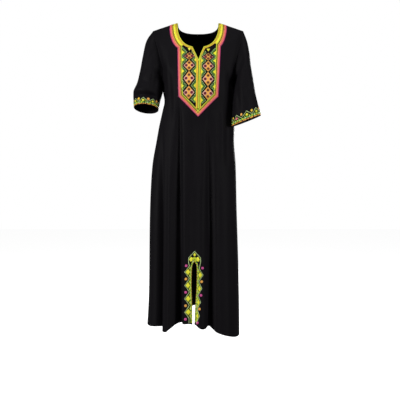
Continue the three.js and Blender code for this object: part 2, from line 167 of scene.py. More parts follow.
def light_of(red, green, blue):
    """The colour, given as a screen shows it, as amounts of light."""
    return tuple(((part / 255 + 0.055) / 1.055) ** 2.4 for part in (red, green, blue)) + (1.0,)


def crepe():
    """Soft black crepe: a fine pebbled grain, faint vertical slubs and a low sheen."""
    finish = Finish("black_crepe")
    place = finish.node("ShaderNodeTexCoord", output="Object")
    pebble = finish.noise(place, 900.0, 3.0, 0.6)
    slub = finish.noise(finish.stretched(place, (420.0, 420.0, 30.0)), 1.0, 2.0)
    cloud = finish.noise(place, 9.0, 3.0)
    shade = cloud * 0.6 + slub * 0.4
    colour = finish.blend(shade, (0.0030, 0.0026, 0.0034, 1), (0.0066, 0.0059, 0.0073, 1))
    grain = pebble * 0.7 + slub * 0.3
    normal = finish.node("ShaderNodeBump", None, {"Strength": 0.35, "Distance": 0.0004, "Height": grain})
    return finish.finish_with({
        "Base Color": colour,
        "Roughness": 0.56 + cloud * 0.16,
        "Specular IOR Level": 0.05,
        "Sheen Weight": 0.008,
        "Sheen Roughness": 0.45,
        "Sheen Tint": (0.86, 0.8, 1.0, 1),
        "Normal": normal,
    })


THREAD_PITCH = 0.9  # from one visible strand of thread to the next


def thread(name, colour):
    """Satin stitch: strands side by side across the strip, with painted shade in the grooves between
    them and a painted highlight on their raised tops, over a random patchy tone.
    """
    finish = Finish(f"{name}_thread")
    stitch = finish.node("ShaderNodeUVMap", {"uv_map": "stitch"})
    along = finish.node("ShaderNodeSeparateXYZ", None, {"Vector": stitch})
    strand = finish.reckon("SINE", along * (2 * math.pi / THREAD_PITCH))
    uneven = finish.noise(finish.stretched(stitch, (0.9, 0.12, 1.0)), 1.0, 2.0)
    patchy = finish.noise(finish.node("ShaderNodeTexCoord", output="Object"), 120.0, 2.0)
    # Painted shade and highlight: the colour follows the strand wave and unevenness that also raise the
    # bump, darker in the grooves and lighter on raised strands; patchy is random tone.
    shade = uneven * 0.5 + patchy * 0.35 + strand * 0.1
    dark = tuple(part * 0.5 for part in colour[:3]) + (1,)
    light = tuple(min(1.0, part * 1.32) for part in colour[:3]) + (1,)
    height = strand * 0.5 + uneven
    normal = finish.node("ShaderNodeBump", None, {"Strength": 0.5, "Distance": 0.0002, "Height": height})
    return finish.finish_with({
        "Base Color": finish.blend(shade + 0.1, dark, light),
        "Roughness": 0.38 + patchy * 0.2,
        "Specular IOR Level": 0.3,
        "Sheen Weight": 0.05,
        "Normal": normal,
    })


THREADS = {
    "magenta": light_of(164, 30, 104),
    "coral": light_of(254, 108, 104),
    "pink": light_of(254, 178, 164),
    "rose": light_of(204, 76, 146),
    "blush": light_of(222, 118, 128),
    "orange": light_of(255, 166, 70),
    "gold": light_of(254, 190, 44),
    "yellow": light_of(255, 244, 50),
    "lime": light_of(204, 222, 50),
    "green": light_of(96, 170, 62),
    "pale": light_of(192, 218, 146),
    "dark_green": light_of(38, 82, 26),
    "olive": light_of(150, 132, 34),
    "brown": light_of(98, 44, 10),
    "maroon": light_of(108, 6, 34),
}


def white_room():
    """White all round for the view, and a dimmer soft light from it on the gown."""
    world = bpy.data.worlds.new("white_room")
    world.use_nodes = True
    nodes, links = world.node_tree.nodes, world.node_tree.links
    nodes.clear()
    seen = nodes.new("ShaderNodeLightPath").outputs["Is Camera Ray"]
    strength = nodes.new("ShaderNodeMapRange")
    strength.inputs["To Min"].default_value = ROOM_LIGHT
    strength.inputs["To Max"].default_value = 1.0
    links.new(seen, strength.inputs["Value"])
    background = nodes.new("ShaderNodeBackground")
    background.inputs["Color"].default_value = (1, 1, 1, 1)
    links.new(strength.outputs["Result"], background.inputs["Strength"])
    out = nodes.new("ShaderNodeOutputWorld")
    links.new(background.outputs["Background"], out.inputs["Surface"])
    bpy.context.scene.world = world


def lay_floor():
    mesh = bpy.data.meshes.new("floor")
    r, z = FLOOR_REACH, FLOOR_Z * MM
    mesh.from_pydata([(-r, -r, z), (r, -r, z), (r, r, z), (-r, r, z)], [], [(0, 1, 2, 3)])
    floor = bpy.data.objects.new("floor", mesh)
    bpy.context.scene.collection.objects.link(floor)
    finish = Finish("pale_floor")
    place = finish.node("ShaderNodeTexCoord", output="Object")
    mottle = finish.noise(place, 3.0)
    colour = finish.blend(mottle, (0.5, 0.5, 0.5, 1), (0.54, 0.54, 0.54, 1))
    mesh.materials.append(finish.finish_with({
        "Base Color": colour,
        "Roughness": 0.9,
        "Specular IOR Level": 0.1,
        "Emission Color": (1, 1, 1, 1),
        "Emission Strength": 0.92,
    }))
    floor.visible_diffuse = False
    floor.visible_glossy = False


# ---- Tables and curves ---------------------------------------------------------------


def table(columns, *rows):
    """A table as a dict of columns."""
    return {name: np.array(column) for name, column in zip(columns.split(), zip(*rows))}


def rows_of(columns, *rows):
    """A table as a list of rows, each a dict."""
    return [dict(zip(columns.split(), row)) for row in rows]


def mix(a, b, t):
    return a + (b - a) * t


def ease(t):
    t = np.clip(t, 0, 1)
    return t * t * (3 - 2 * t)


def bridge(t, span, a, b, start_slope, end_slope):
    """The smooth curve from a to b that leaves and arrives at the given slopes."""
    pull = span * t * (1 - t) * ((1 - t) * start_slope - t * end_slope)
    return mix(a, b, t * t * (3 - 2 * t)) + pull


def look_up(rows, key, column, at):
    """Smooth value of one column of a table whose rows are sorted by the key column."""
    knots, values = rows[key], rows[column]
    if knots[0] > knots[-1]:
        knots, values = knots[::-1], values[::-1]
    last = len(knots) - 1
    i = np.clip(np.searchsorted(knots, at, side="right") - 1, 0, last - 1)
    before, after = np.maximum(i - 1, 0), np.minimum(i + 2, last)
    start_slope = (values[i + 1] - values[before]) / (knots[i + 1] - knots[before])
    end_slope = (values[after] - values[i]) / (knots[after] - knots[i])
    span = knots[i + 1] - knots[i]
    t = np.clip((at - knots[i]) / span, 0, 1)
    return bridge(t, span, values[i], values[i + 1], start_slope, end_slope)


def unit(vectors):
    return vectors / np.maximum(np.linalg.norm(vectors, axis=-1, keepdims=True), 1e-9)


def travelled(points):
    """The way to each point along a line of points, or along many lines side by side."""
    steps = np.linalg.norm(np.diff(points, axis=0), axis=-1)
    return np.concatenate([np.zeros_like(steps[:1]), np.cumsum(steps, axis=0)])


# ---- The body of the gown ------------------------------------------------------------

CLOTH = 1.2  # wall of the cloth

UNDERARM_Z = -262
MEASURE_Z = -1250  # places across the hem, and depths of folds, are given here
ROUNDING = 2.3  # exponent of the body sections, 2 is an ellipse

SHOULDER_SLOPE = 0.335
SHOULDER_EASE = 16  # softens the bend of the shoulder line at the neck
SHOULDER_ROUND = 110  # depth over which the cloth rolls off the shoulder
SHOULDER_TIP_X = 190
SHOULDER_MID_X = 1.5

NECK_HALF_WIDTH = 85.5
NECK_ROUNDING = 2.6
NECK_DROP = {FRONT: 120, BACK: 28}
NOTCH_HALF_WIDTH = 23
NOTCH_FOOT_Z = -173
BAND_WIDTH = 33.5

# Body sections from the top down. low and high are the sides towards -X and +X, mid is the
# centre line of front and back.
BODY = table(
    "z low mid high front back",
    (20, -252, 1.5, 255, -68, 66),
    (-50, -238, 1.5, 241, -76, 94),
    (-100, -225, 1.5, 228, -86, 106),
    (-160, -201, 1.5, 204, -101, 112),
    (-220, -167, 1.5, 171, -118, 113),
    (-262, -151, 1.5, 154, -126, 112),
    (-290, -147, 1.5, 154, -128, 110),
    (-330, -141, 1.5, 151.5, -126, 105),
    (-380, -151, 1, 150.5, -122, 100),
    (-434, -163, 0, 155, -122, 100),
    (-500, -175, -1.6, 153.5, -126, 108),
    (-600, -192, -4, 160.5, -134, 126),
    (-780, -202, -8, 164.5, -142, 148),
    (-1035, -205.5, -13.5, 172.5, -158, 168),
    (-1160, -208, -15.5, 175, -170, 182),
    (-1310, -216.5, -18, 176.5, -187, 200),
)

# Height of the hem against the place across it.
HEM = table(
    "x front back",
    (-216, -1266, -1266),
    (-166, -1256, -1272),
    (-146, -1267, -1270),
    (-126, -1270, -1262),
    (-111, -1259, -1254),
    (-90, -1240, -1250),
    (-72, -1236, -1242),
    (-16, -1235, -1232),
    (4, -1250, -1233),
    (26, -1254, -1238),
    (42, -1250, -1242),
    (57, -1252, -1248),
    (74, -1270, -1256),
    (125, -1292, -1281),
    (177, -1310, -1310),
)

# Half the width of the hem slit.
SLIT_TOP_Z = -989
SLIT = table(
    "z half",
    (-989, 0),
    (-1001, 6.5),
    (-1025, 9.3),
    (-1085, 9.3),
    (-1150, 6.3),
    (-1230, 4.2),
    (-1310, 3.4),
)

# Hanging folds: top_x and hem_x are the fold's places at its start and at the hem, start is
# where it begins, low and high are its reaches towards -X and +X, and depth is how far it
# falls in at the hem (out if negative). It deepens with the growth's power of the way down.
FOLDS = rows_of(
    "face top_x hem_x start low high depth growth",
    (FRONT, -70, -71, -370, 24, 8, 42, 0.75),
    (FRONT, -146, -155, -440, 16, 9, 42, 0.75),
    (FRONT, 54, 56, -400, 22, 12, 38, 0.85),
    (FRONT, -104, -108, -420, 16, 13, -9, 0.9),
    (FRONT, 22, 22, -420, 26, 22, -7, 1.0),
    (FRONT, 122, 130, -420, 40, 30, -13, 0.8),
    (BACK, -104, -132, -520, 19, 19, 26, 1.0),
    (BACK, -34, -46, -420, 22, 22, 26, 0.9),
    (BACK, 36, 44, -480, 17, 17, 30, 0.9),
    (BACK, 92, 112, -560, 19, 19, 22, 1.0),
    (BACK, 0, 0, -560, 26, 26, -9, 1.0),
)

# The cloth falls in along each armhole. The dip fades out at the underarm and at the tip, over
# these parts of the armhole's height.
ARMHOLE_DIP = {(LOW, FRONT): 11, (LOW, BACK): 4, (HIGH, FRONT): 6, (HIGH, BACK): 4}
ARMHOLE_REACH = 15
UNDERARM_FADE, TIP_FADE = 0.3, 0.35

CREASE_END = 0.28  # part of a crease's length over which it fades out
SEAM_EASE = 30  # folds and creases fade out this far from a seam
# Soft creases, as seen from the front: from (x0, z0) to (x1, z1), with the
# reach on each side of the line, low towards -X or below and high towards +X or above. A
# depth above 0 is a trough and one below 0 a ridge.
CREASES = rows_of(
    "face x0 z0 x1 z1 low high depth",
    # chest and waist
    (FRONT, -168, -92, -146, -300, 9, 13, 5.0),
    (FRONT, -138, -150, -132, -400, 8, 9, 3.0),
    (FRONT, -118, -196, -107, -420, 7, 8, 3.4),
    (FRONT, -126, -100, -116, -240, 13, 13, -3.0),
    (FRONT, -96, -260, -92, -470, 8, 8, -2.6),
    (FRONT, 178, -80, 150, -310, 13, 9, 6.0),
    (FRONT, 128, -200, 137, -400, 7, 7, 3.2),
    (FRONT, 106, -190, 110, -360, 10, 10, -2.6),
    (FRONT, 88, -372, 84, -560, 6, 6, 2.6),
    (FRONT, 100, -340, 98, -620, 9, 9, -3.4),
    (FRONT, 122, -330, 118, -640, 8, 8, 4.0),
    (FRONT, -20, -400, -14, -700, 12, 12, 2.0),
    (FRONT, 24, -420, 26, -760, 14, 14, -3.0),
    (FRONT, -60, -90, -150, -66, 10, 16, 1.6),
    (FRONT, 76, -80, 168, -70, 10, 16, 1.6),
    # skirt
    (FRONT, -73, -250, -77, -900, 9, 5, 6.0),
    (FRONT, 42, -330, 48, -900, 8, 6, 4.5),
    (FRONT, -112, -470, -118, -1500, 8, 6, -5.0),
    (FRONT, -52, -560, -50, -1500, 10, 14, -3.0),
    (FRONT, -34, -640, -38, -1500, 9, 9, 2.4),
    (FRONT, 14, -600, 16, -1060, 15, 15, -3.0),
    (FRONT, 84, -560, 92, -1500, 9, 10, 3.0),
    (FRONT, 126, -700, 134, -1500, 10, 8, 3.6),
    (FRONT, -97, -620, -104, -1500, 7, 9, 3.0),
    (FRONT, -182, -560, -190, -1500, 9, 9, -4.0),
    (FRONT, 150, -640, 160, -1500, 9, 9, -3.0),
    # back
    (BACK, -150, -120, -112, -330, 12, 9, 5.0),
    (BACK, 156, -100, 118, -350, 9, 13, 5.0),
    (BACK, -62, -150, -48, -430, 11, 11, 3.2),
    (BACK, 66, -170, 60, -440, 11, 11, 3.0),
    (BACK, 8, -230, 4, -520, 10, 10, 2.6),
    (BACK, -110, -330, -40, -372, 8, 12, 3.0),
    (BACK, 30, -366, 112, -338, 8, 12, 3.2),
    (BACK, -20, -392, 60, -404, 8, 10, 2.2),
    (BACK, -78, -460, -90, -1500, 9, 11, 3.6),
    (BACK, 70, -520, 82, -1500, 9, 11, -3.8),
    (BACK, -150, -520, -166, -1500, 11, 9, -4.2),
    (BACK, 134, -560, 146, -1500, 9, 11, -4.0),
    (BACK, -8, -700, -18, -1500, 9, 9, 3.4),
)


def mid_x(z):
    return look_up(BODY, "z", "mid", z)


def half_width(u, z):
    """Half the width of the body at z, on the side that the part u has its sign from."""
    side = np.where(u < 0, look_up(BODY, "z", "low", z), look_up(BODY, "z", "high", z))
    return np.abs(side - mid_x(z))


def part_at(x, z):
    """The signed part of the half width at which x lies, -1 to 1."""
    across = x - mid_x(z)
    return np.clip(across / half_width(across, z), -1, 1)


def other_leg(leg):
    """The other leg of a body section of size 1."""
    return np.maximum(0, 1 - np.abs(leg) ** ROUNDING) ** (1 / ROUNDING)


def eased_step(a):
    return (a + np.hypot(a, SHOULDER_EASE)) / 2


def shoulder_z(x):
    """Height of the shoulder line."""
    past = np.abs(x - SHOULDER_MID_X) - NECK_HALF_WIDTH
    return SHOULDER_SLOPE * (eased_step(0) - eased_step(past))


TIP_Z = shoulder_z(SHOULDER_MID_X + SHOULDER_TIP_X)


def roll_off(x, z):
    """How far the cloth has rolled off the shoulder, 0 on the seam and 1 well below it."""
    down = np.clip((shoulder_z(x) - z) / SHOULDER_ROUND, 0, 1)
    return np.sqrt(1 - (1 - down) ** 2)


def section(face, u, z):
    """Points of the body before it folds, and the level directions out of it."""
    reach = half_width(u, z)
    depth = np.where(face < 0, look_up(BODY, "z", "front", z), look_up(BODY, "z", "back", z))
    leg = other_leg(u)
    x = mid_x(z) + u * reach
    points = np.stack([x, depth * leg * roll_off(x, z), z], axis=-1)
    across = np.sign(u) * np.abs(u) ** (ROUNDING - 1) / reach
    deep = face * leg ** (ROUNDING - 1) / np.abs(depth)
    return points, unit(np.stack([across, deep, 0 * z], axis=-1))


def dent(across, low, high):
    """Depth of a crease of depth 1 at a distance across it."""
    return np.exp(-((across / np.where(across < 0, low, high)) ** 2))


def fold_depth(face, flat):
    """How far the hanging folds push the cloth in."""
    x, z = flat[..., 0], flat[..., 2]
    depth = np.zeros_like(z)
    for fold in FOLDS:
        down = np.clip((z - fold["start"]) / (MEASURE_Z - fold["start"]), 0, None)
        centre_x = mix(fold["top_x"], fold["hem_x"], down)
        centre = section(face, part_at(centre_x, z), z)[0]
        away = np.linalg.norm(flat - centre, axis=-1) * np.sign(x - centre_x)
        fall = fold["depth"] * down ** fold["growth"]
        depth += (face == fold["face"]) * fall * dent(away, fold["low"], fold["high"])
    return depth


def crease_at(crease, a, b):
    """Depth of one crease at the places (a, b) of the plane that it was drawn in."""
    run_a, run_b = crease["x1"] - crease["x0"], crease["z1"] - crease["z0"]
    length = math.hypot(run_a, run_b)
    from_a, from_b = a - crease["x0"], b - crease["z0"]
    along = (from_a * run_a + from_b * run_b) / length**2
    across = (from_b * run_a - from_a * run_b) / length
    fade = ease(along / CREASE_END) * ease((1 - along) / CREASE_END)
    return crease["depth"] * fade * dent(across, crease["low"], crease["high"])


def armhole_part(u, z):
    """Part of the half width at which the panels end: at the armhole, or at the side seam."""
    up = np.clip((z - UNDERARM_Z) / (TIP_Z - UNDERARM_Z), 0, 1)
    tip_reach = other_leg(SHOULDER_TIP_X / half_width(u, TIP_Z))
    part = other_leg(tip_reach * np.sqrt(1 - (1 - up) ** 4))
    return np.where(z >= UNDERARM_Z, part, 1)


def seam_fade(face, u, flat):
    """0 on a seam and 1 well away from it."""
    z = flat[..., 2]
    part = armhole_part(u, z)
    seam = section(face, np.where(u < 0, -part, part), z)[0]
    away = np.linalg.norm(flat - seam, axis=-1) * (np.abs(u) < part)
    return ease(away / SEAM_EASE) * ease((shoulder_z(flat[..., 0]) - z) / SEAM_EASE)


def armhole_dip(side, face, z):
    """How far the cloth falls in on the armhole seam at a height."""
    depth = np.zeros(np.broadcast(side, face, z).shape)
    for (dip_side, dip_face), dip in ARMHOLE_DIP.items():
        depth += dip * (side == dip_side) * (face == dip_face)
    up = (z - UNDERARM_Z) / (TIP_Z - UNDERARM_Z)
    return depth * ease(up / UNDERARM_FADE) * ease((1 - up) / TIP_FADE)


def body_point(face, u, z):
    """Points on the outside of the body, at a signed part of the half width and a height."""
    face, u, z = np.broadcast_arrays(np.float64(face), u, z)
    flat, out = section(face, u, z)
    creased = np.zeros_like(z)
    for crease in CREASES:
        creased += (face == crease["face"]) * crease_at(crease, flat[..., 0], z)
    inward = (fold_depth(face, flat) + creased) * seam_fade(face, u, flat)
    side = np.where(u < 0, LOW, HIGH)
    away = np.linalg.norm(flat - section(face, side * armhole_part(u, z), z)[0], axis=-1)
    inward = inward + armhole_dip(side, face, z) * dent(away, ARMHOLE_REACH, ARMHOLE_REACH)
    return flat - out * inward[..., None]


# ---- Edges of the panels -------------------------------------------------------------

UPPER_SPAN = 12  # the rows above the underarm, counted as the panel's edges are
NECK_SPAN = {FRONT: 7, BACK: 5}  # rows that end on the neck's curve
NOTCH_SPAN = 3  # rows that end on the notch, its foot included
SAMPLES = 400  # points along a curve whose length is measured


def neck_place(face, side, turn):
    """The neck's curve, from the shoulder (turn 0) to the centre line (turn 1)."""
    angle = turn * np.pi / 2
    power = 2 / NECK_ROUNDING
    x = SHOULDER_MID_X + side * NECK_HALF_WIDTH * np.cos(angle) ** power
    return x, -NECK_DROP[face] * np.sin(angle) ** power


NOTCH_TURN = math.acos((NOTCH_HALF_WIDTH / NECK_HALF_WIDTH) ** (NECK_ROUNDING / 2)) * 2 / math.pi
LAST_TURN = {FRONT: NOTCH_TURN, BACK: 1.0}


def even_turn(face, side, part):
    """The turn at an even part of the way along the neck's curve on the cloth."""
    turns = np.linspace(0, LAST_TURN[face], SAMPLES) ** 2 / LAST_TURN[face]
    x, z = neck_place(face, side, turns)
    way = travelled(body_point(face, part_at(x, z), z))
    return np.interp(part, way / way[-1], turns)


def inner_place(face, side, row):
    """The inner end of an upper row: on the neck, on the notch or on the centre line."""
    on_neck = np.minimum(row / NECK_SPAN[face], 1)
    neck_x, neck_z = neck_place(face, side, even_turn(face, side, on_neck))
    foot_z = NOTCH_FOOT_Z if face == FRONT else neck_z[-1]
    notch_span = NOTCH_SPAN if face == FRONT else 0
    foot_row = NECK_SPAN[face] + notch_span
    down_notch = np.clip((row - NECK_SPAN[face]) / max(notch_span, 1), 0, 1)
    if not notch_span:
        down_notch = (row > foot_row) * 1.0
    down_centre = np.clip((row - foot_row) / (UPPER_SPAN - foot_row), 0, 1)
    x = mix(neck_x, SHOULDER_MID_X, down_notch)
    z = mix(mix(neck_z, foot_z, down_notch), UNDERARM_Z, down_centre)
    return x, z


def armhole_place(side, up):
    """A point of the armhole, up from 0 at the underarm to 1 at the shoulder's tip."""
    z = mix(UNDERARM_Z, TIP_Z, up)
    return mid_x(z) + side * half_width(side, z) * armhole_part(side, z), z


def spread(line):
    """Part of the half width of each line down a panel, line from 0 to 1."""
    return np.sin(line * np.pi / 2) ** (2 / ROUNDING)


def slit_half(z):
    return np.where(z < SLIT_TOP_Z, np.maximum(0, look_up(SLIT, "z", "half", z)), 0)


def upper_rows(face, side, row, line):
    inner_x, inner_z = inner_place(face, side, row)
    outer_x, outer_z = armhole_place(side, (1 + np.cos(np.pi * row / UPPER_SPAN)) / 2)
    across = mix(line, spread(line), row / UPPER_SPAN)
    neck_x = SHOULDER_MID_X + side * NECK_HALF_WIDTH
    tip_x = SHOULDER_MID_X + side * SHOULDER_TIP_X
    bow = shoulder_z(mix(neck_x, tip_x, across)) - TIP_Z * across
    x = mix(inner_x, outer_x, across)
    z = mix(inner_z, outer_z, across) + bow * (1 - row / UPPER_SPAN) ** 3
    return body_point(face, part_at(x, z), z)


def lower_rows(face, side, down, line):
    part = spread(line)
    hem_x = mid_x(MEASURE_Z) + side * half_width(side, MEASURE_Z) * part
    hem_z = look_up(HEM, "x", "front" if face == FRONT else "back", hem_x)
    z = mix(UNDERARM_Z, hem_z, down)
    opened = slit_half(z) / half_width(side, z) if face == FRONT else 0
    return body_point(face, side * mix(opened, 1, part), z)


# ---- Cloth pieces --------------------------------------------------------------------


def add_piece(name, points, faces, finishes, nodes):
    """A piece of the gown, from points in millimetres."""
    mesh = bpy.data.meshes.new(name)
    mesh.from_pydata((np.asarray(points) * MM).tolist(), [], faces)
    for finish in finishes:
        mesh.materials.append(finish)
    piece = bpy.data.objects.new(name, mesh)
    bpy.context.scene.collection.objects.link(piece)
    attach(piece, "root")
    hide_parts(*nodes)
    return piece


def grid_quads(numbers, flip):
    """The quads of a grid of point numbers, turning left as seen from outside."""
    corners = numbers[:-1, :-1], numbers[1:, :-1], numbers[1:, 1:], numbers[:-1, 1:]
    quads = np.stack([corner.ravel() for corner in corners], axis=1)
    return quads[:, ::-1] if flip else quads


def outward_of(points, quads):
    """The direction out of the cloth at each point."""
    a, b, c, d = (points[quads[:, corner]] for corner in range(4))
    facing = np.cross(c - a, d - b)
    outward = np.zeros_like(points)
    for corner in range(4):
        np.add.at(outward, quads[:, corner], facing)
    return unit(outward)


def cloth_piece(name, points, quads, outward, finish):
    """A closed wall of cloth whose outside passes through the points."""
    count = len(points)
    start = quads.ravel()
    end = np.roll(quads, -1, axis=1).ravel()
    edge = ~np.isin(start * count + end, end * count + start)
    start, end = start[edge], end[edge]
    rim = np.stack([end, start, start + count, end + count], axis=1)
    faces = np.concatenate([quads, quads[:, ::-1] + count, rim])
    both = np.concatenate([points, points - CLOTH * outward])
    piece = add_piece(f"{name}_cloth", both, faces.tolist(), [finish], [name])
    smooth = np.ones(len(faces), dtype=bool)
    smooth[-len(rim):] = False
    piece.data.polygons.foreach_set("use_smooth", smooth)
    return piece


PANEL_GRID = {  # lines to each side of the centre, rows above and below the underarm
    FRONT: {"lines": 76, "upper": 72, "lower": 170},
    BACK: {"lines": 68, "upper": 60, "lower": 150},
}


def body_panel(name, face, finish):
    size = PANEL_GRID[face]
    line = np.linspace(0, 1, size["lines"] + 1)[None, :]
    row = np.linspace(0, UPPER_SPAN, size["upper"] + 1)[:, None]
    down = np.linspace(0, 1, size["lower"] + 1)[1:, None]
    points, quads, seam = [], [], []
    for side in (LOW, HIGH):
        grid = np.concatenate([upper_rows(face, side, row, line), lower_rows(face, side, down, line)])
        numbers = np.arange(grid[..., 0].size).reshape(grid.shape[:2]) + sum(map(len, points))
        quads.append(grid_quads(numbers, (side < 0) == (face < 0)))
        on_seam = np.zeros(grid.shape[:2], dtype=bool)
        on_seam[0] = True
        on_seam[size["upper"]:, -1] = True
        points.append(grid.reshape(-1, 3))
        seam.append(on_seam.ravel())
    points, quads, seam = (np.concatenate(parts) for parts in (points, quads, seam))
    _, first, number = np.unique(np.round(points, 3), axis=0, return_index=True, return_inverse=True)
    points, quads, seam = points[first], number.ravel()[quads], seam[first]
    outward = outward_of(points, quads)
    outward[seam, 1] = 0
    return cloth_piece(name, points, quads, unit(outward), finish)


# ---- Sleeves -------------------------------------------------------------------------

# Rings after the armhole. outer and inner are the ends of each ring seen from the front, y
# its middle, depth half its front-to-back size, lift the rise of its front edge.
SLEEVE = {
    LOW: table(
        "outer_x outer_z inner_x inner_z y depth lift",
        (-216, -75, -148.4, -272, -3, 69, 0),
        (-232, -145, -146.4, -284, -9, 68, 2),
        (-243, -210, -149.5, -300, -15, 66, 5),
        (-255, -258, -153, -314, -20, 65, 8),
        (-268, -290, -155.3, -322, -23, 64, 10),
        (-270, -314, -158, -333, -25, 63, 11),
        (-266.5, -360, -166, -368, -28, 62, 11),
    ),
    HIGH: table(
        "outer_x outer_z inner_x inner_z y depth lift",
        (207, -80, 151.6, -273, -12, 69, 0),
        (215.5, -135, 148.2, -292, -32, 68, 1),
        (220.5, -190, 145.4, -318, -46, 66, 2),
        (229.5, -250, 143.4, -344, -56, 65, 2),
        (238, -305, 142.5, -374, -62, 64, 1),
        (248.5, -352, 141.5, -403, -68, 62, 0),
        (260, -397, 141, -443, -72, 60, -2),
    ),
}

# Creases of the sleeves. x is the place round the sleeve, from 0 at the outside by 95 at
# the front and 190 at the inside to -95 at the back, and z the way up from the cuff's edge.
SLEEVE_TURN = 60  # millimetres of that place for each radian
SLEEVE_EASE = 34  # creases fade out over this much of the cloth below the armhole
SLEEVE_CREASES = rows_of(
    "side x0 z0 x1 z1 low high depth",
    (LOW, 6, 44, 160, 38, 6, 9, 11.0),
    (LOW, 4, 62, 130, 60, 8, 16, -3.6),
    (LOW, 150, 250, 118, 60, 12, 9, 6.5),
    (LOW, 128, 250, 90, 90, 11, 11, -3.5),
    (LOW, 92, 280, 58, 120, 9, 11, 3.6),
    (LOW, 40, 260, 24, 110, 12, 12, -2.6),
    (LOW, 10, 120, 100, 92, 7, 9, 2.6),
    (LOW, -120, 250, -90, 60, 12, 12, 5.5),
    (LOW, -60, 270, -50, 90, 11, 11, 3.4),
    (LOW, -30, 100, -110, 66, 8, 8, 3.0),
    (HIGH, 154, 250, 122, 30, 12, 9, 6.5),
    (HIGH, 130, 270, 96, 70, 11, 11, -3.5),
    (HIGH, 100, 290, 66, 90, 10, 10, 3.2),
    (HIGH, 50, 270, 40, 60, 12, 12, -2.6),
    (HIGH, 30, 150, 90, 96, 8, 10, 2.6),
    (HIGH, -120, 260, -96, 40, 12, 12, 5.5),
    (HIGH, -64, 280, -52, 80, 11, 11, 3.4),
    (HIGH, -20, 130, -100, 80, 8, 8, 2.8),
)


def armhole_edge(side, angle):
    """The armhole at these angles, and how far the cloth falls in there, as vectors."""
    x, z = armhole_place(side, (1 + np.cos(angle)) / 2)
    face = np.where(np.sin(angle) >= 0, FRONT, BACK)
    edge, out = section(face, part_at(x, z), z)
    return edge, -out * armhole_dip(side, face, z)[:, None]


def sleeve_rings(side, angle):
    """The armhole and the rings below it at these angles, as ring, place, xyz."""
    armhole = armhole_edge(side, angle)[0]
    ring = {name: column[:, None] for name, column in SLEEVE[side].items()}
    out, front = np.cos(angle), np.sin(angle)
    x = mix(ring["inner_x"], ring["outer_x"], (1 + out) / 2)
    y = ring["y"] - ring["depth"] * front
    z = mix(ring["inner_z"], ring["outer_z"], (1 + out) / 2) + ring["lift"] * front
    return np.concatenate([armhole[None], np.stack([x, y, z], axis=-1)])


def along_rings(rings, at):
    """Points on the smooth lines through the rings, at a way along from the armhole."""
    knots = travelled(rings)
    last = len(knots) - 1
    i = np.clip((knots <= at).sum(axis=0) - 1, 0, last - 1)
    places = np.arange(len(i))
    values = lambda number: rings[np.clip(number, 0, last), places]
    ways = lambda number: knots[np.clip(number, 0, last), places][:, None]
    start_slope = (values(i + 1) - values(i - 1)) / (ways(i + 1) - ways(i - 1))
    end_slope = (values(i + 2) - values(i)) / (ways(i + 2) - ways(i))
    span = ways(i + 1) - ways(i)
    t = np.clip((at[:, None] - ways(i)) / span, 0, 1)
    return bridge(t, span, values(i), values(i + 1), start_slope, end_slope)


def sleeve_length(side, angle):
    return travelled(sleeve_rings(side, angle))[-1]


def sleeve_point(side, angle, up):
    """Points on the outside of a sleeve, at an angle round it and a way up from its edge."""
    shape = np.broadcast(angle, up).shape
    angle, up = (np.array(part, dtype=float).ravel() for part in np.broadcast_arrays(angle, up))
    length = sleeve_length(side, angle)
    far_length = sleeve_length(side, angle + np.pi)
    point = along_rings(sleeve_rings(side, angle), length - up)
    far_up = up * far_length / length
    opposite = along_rings(sleeve_rings(side, angle + np.pi), far_length - far_up)
    inward = np.zeros_like(up)
    for crease in SLEEVE_CREASES:
        if crease["side"] == side:
            middle = (crease["x0"] + crease["x1"]) / 2 / SLEEVE_TURN
            place = middle + (angle - middle + np.pi) % (2 * np.pi) - np.pi
            inward += crease_at(crease, place * SLEEVE_TURN, up)
    inward *= ease((length - up) / SLEEVE_EASE)
    point += unit(opposite - point) * inward[:, None]
    fade = dent(length - up, ARMHOLE_REACH, ARMHOLE_REACH)
    point += armhole_edge(side, angle)[1] * fade[:, None]
    return point.reshape(shape + (3,))


SLEEVE_GRID = {"around": 112, "down": 78}


def sleeve_piece(name, side, finish):
    around, down = SLEEVE_GRID["around"], SLEEVE_GRID["down"]
    angle = np.linspace(0, 2 * np.pi, around, endpoint=False)
    part = np.linspace(1, 0, down + 1)[:, None]
    points = sleeve_point(side, angle[None, :], part * sleeve_length(side, angle)[None, :])
    numbers = np.arange((down + 1) * around).reshape(down + 1, around)
    quads = grid_quads(np.column_stack([numbers, numbers[:, 0]]), side == HIGH)
    points = points.reshape(-1, 3)
    outward = outward_of(points, quads)
    first = outward[:around]
    first[:, 0] = side * np.minimum(0, side * first[:, 0])
    return cloth_piece(name, points, quads, unit(outward), finish)


# ---- Embroidery ----------------------------------------------------------------------

# Embroidery is drawn on plans of the cloth: a plan gives the point of the cloth, and the
# direction out of it, for two distances in millimetres.
SHOULDER_TURN = 97  # cloth for each radian of the roll over the shoulder
STRAIGHT_FROM = SHOULDER_TURN * math.pi / 2
PROBE = 0.6  # directions on the cloth are taken over this distance to each side


def down_from_shoulder(x, z):
    """Distance along the cloth from the shoulder line down to the height z."""
    drop = shoulder_z(x) - z
    rolled = SHOULDER_TURN * np.arccos(np.clip(1 - drop / SHOULDER_ROUND, 0, 1))
    return np.where(drop < SHOULDER_ROUND, rolled, STRAIGHT_FROM + drop - SHOULDER_ROUND)


def body_at(x, v):
    """The cloth at x, and at v over the shoulder: down the front below 0, else the back."""
    down = np.abs(v)
    rolled = SHOULDER_ROUND * (1 - np.cos(np.minimum(down / SHOULDER_TURN, np.pi / 2)))
    z = shoulder_z(x) - rolled - np.maximum(down - STRAIGHT_FROM, 0)
    return body_point(np.where(v < 0, FRONT, BACK), part_at(x, z), z)


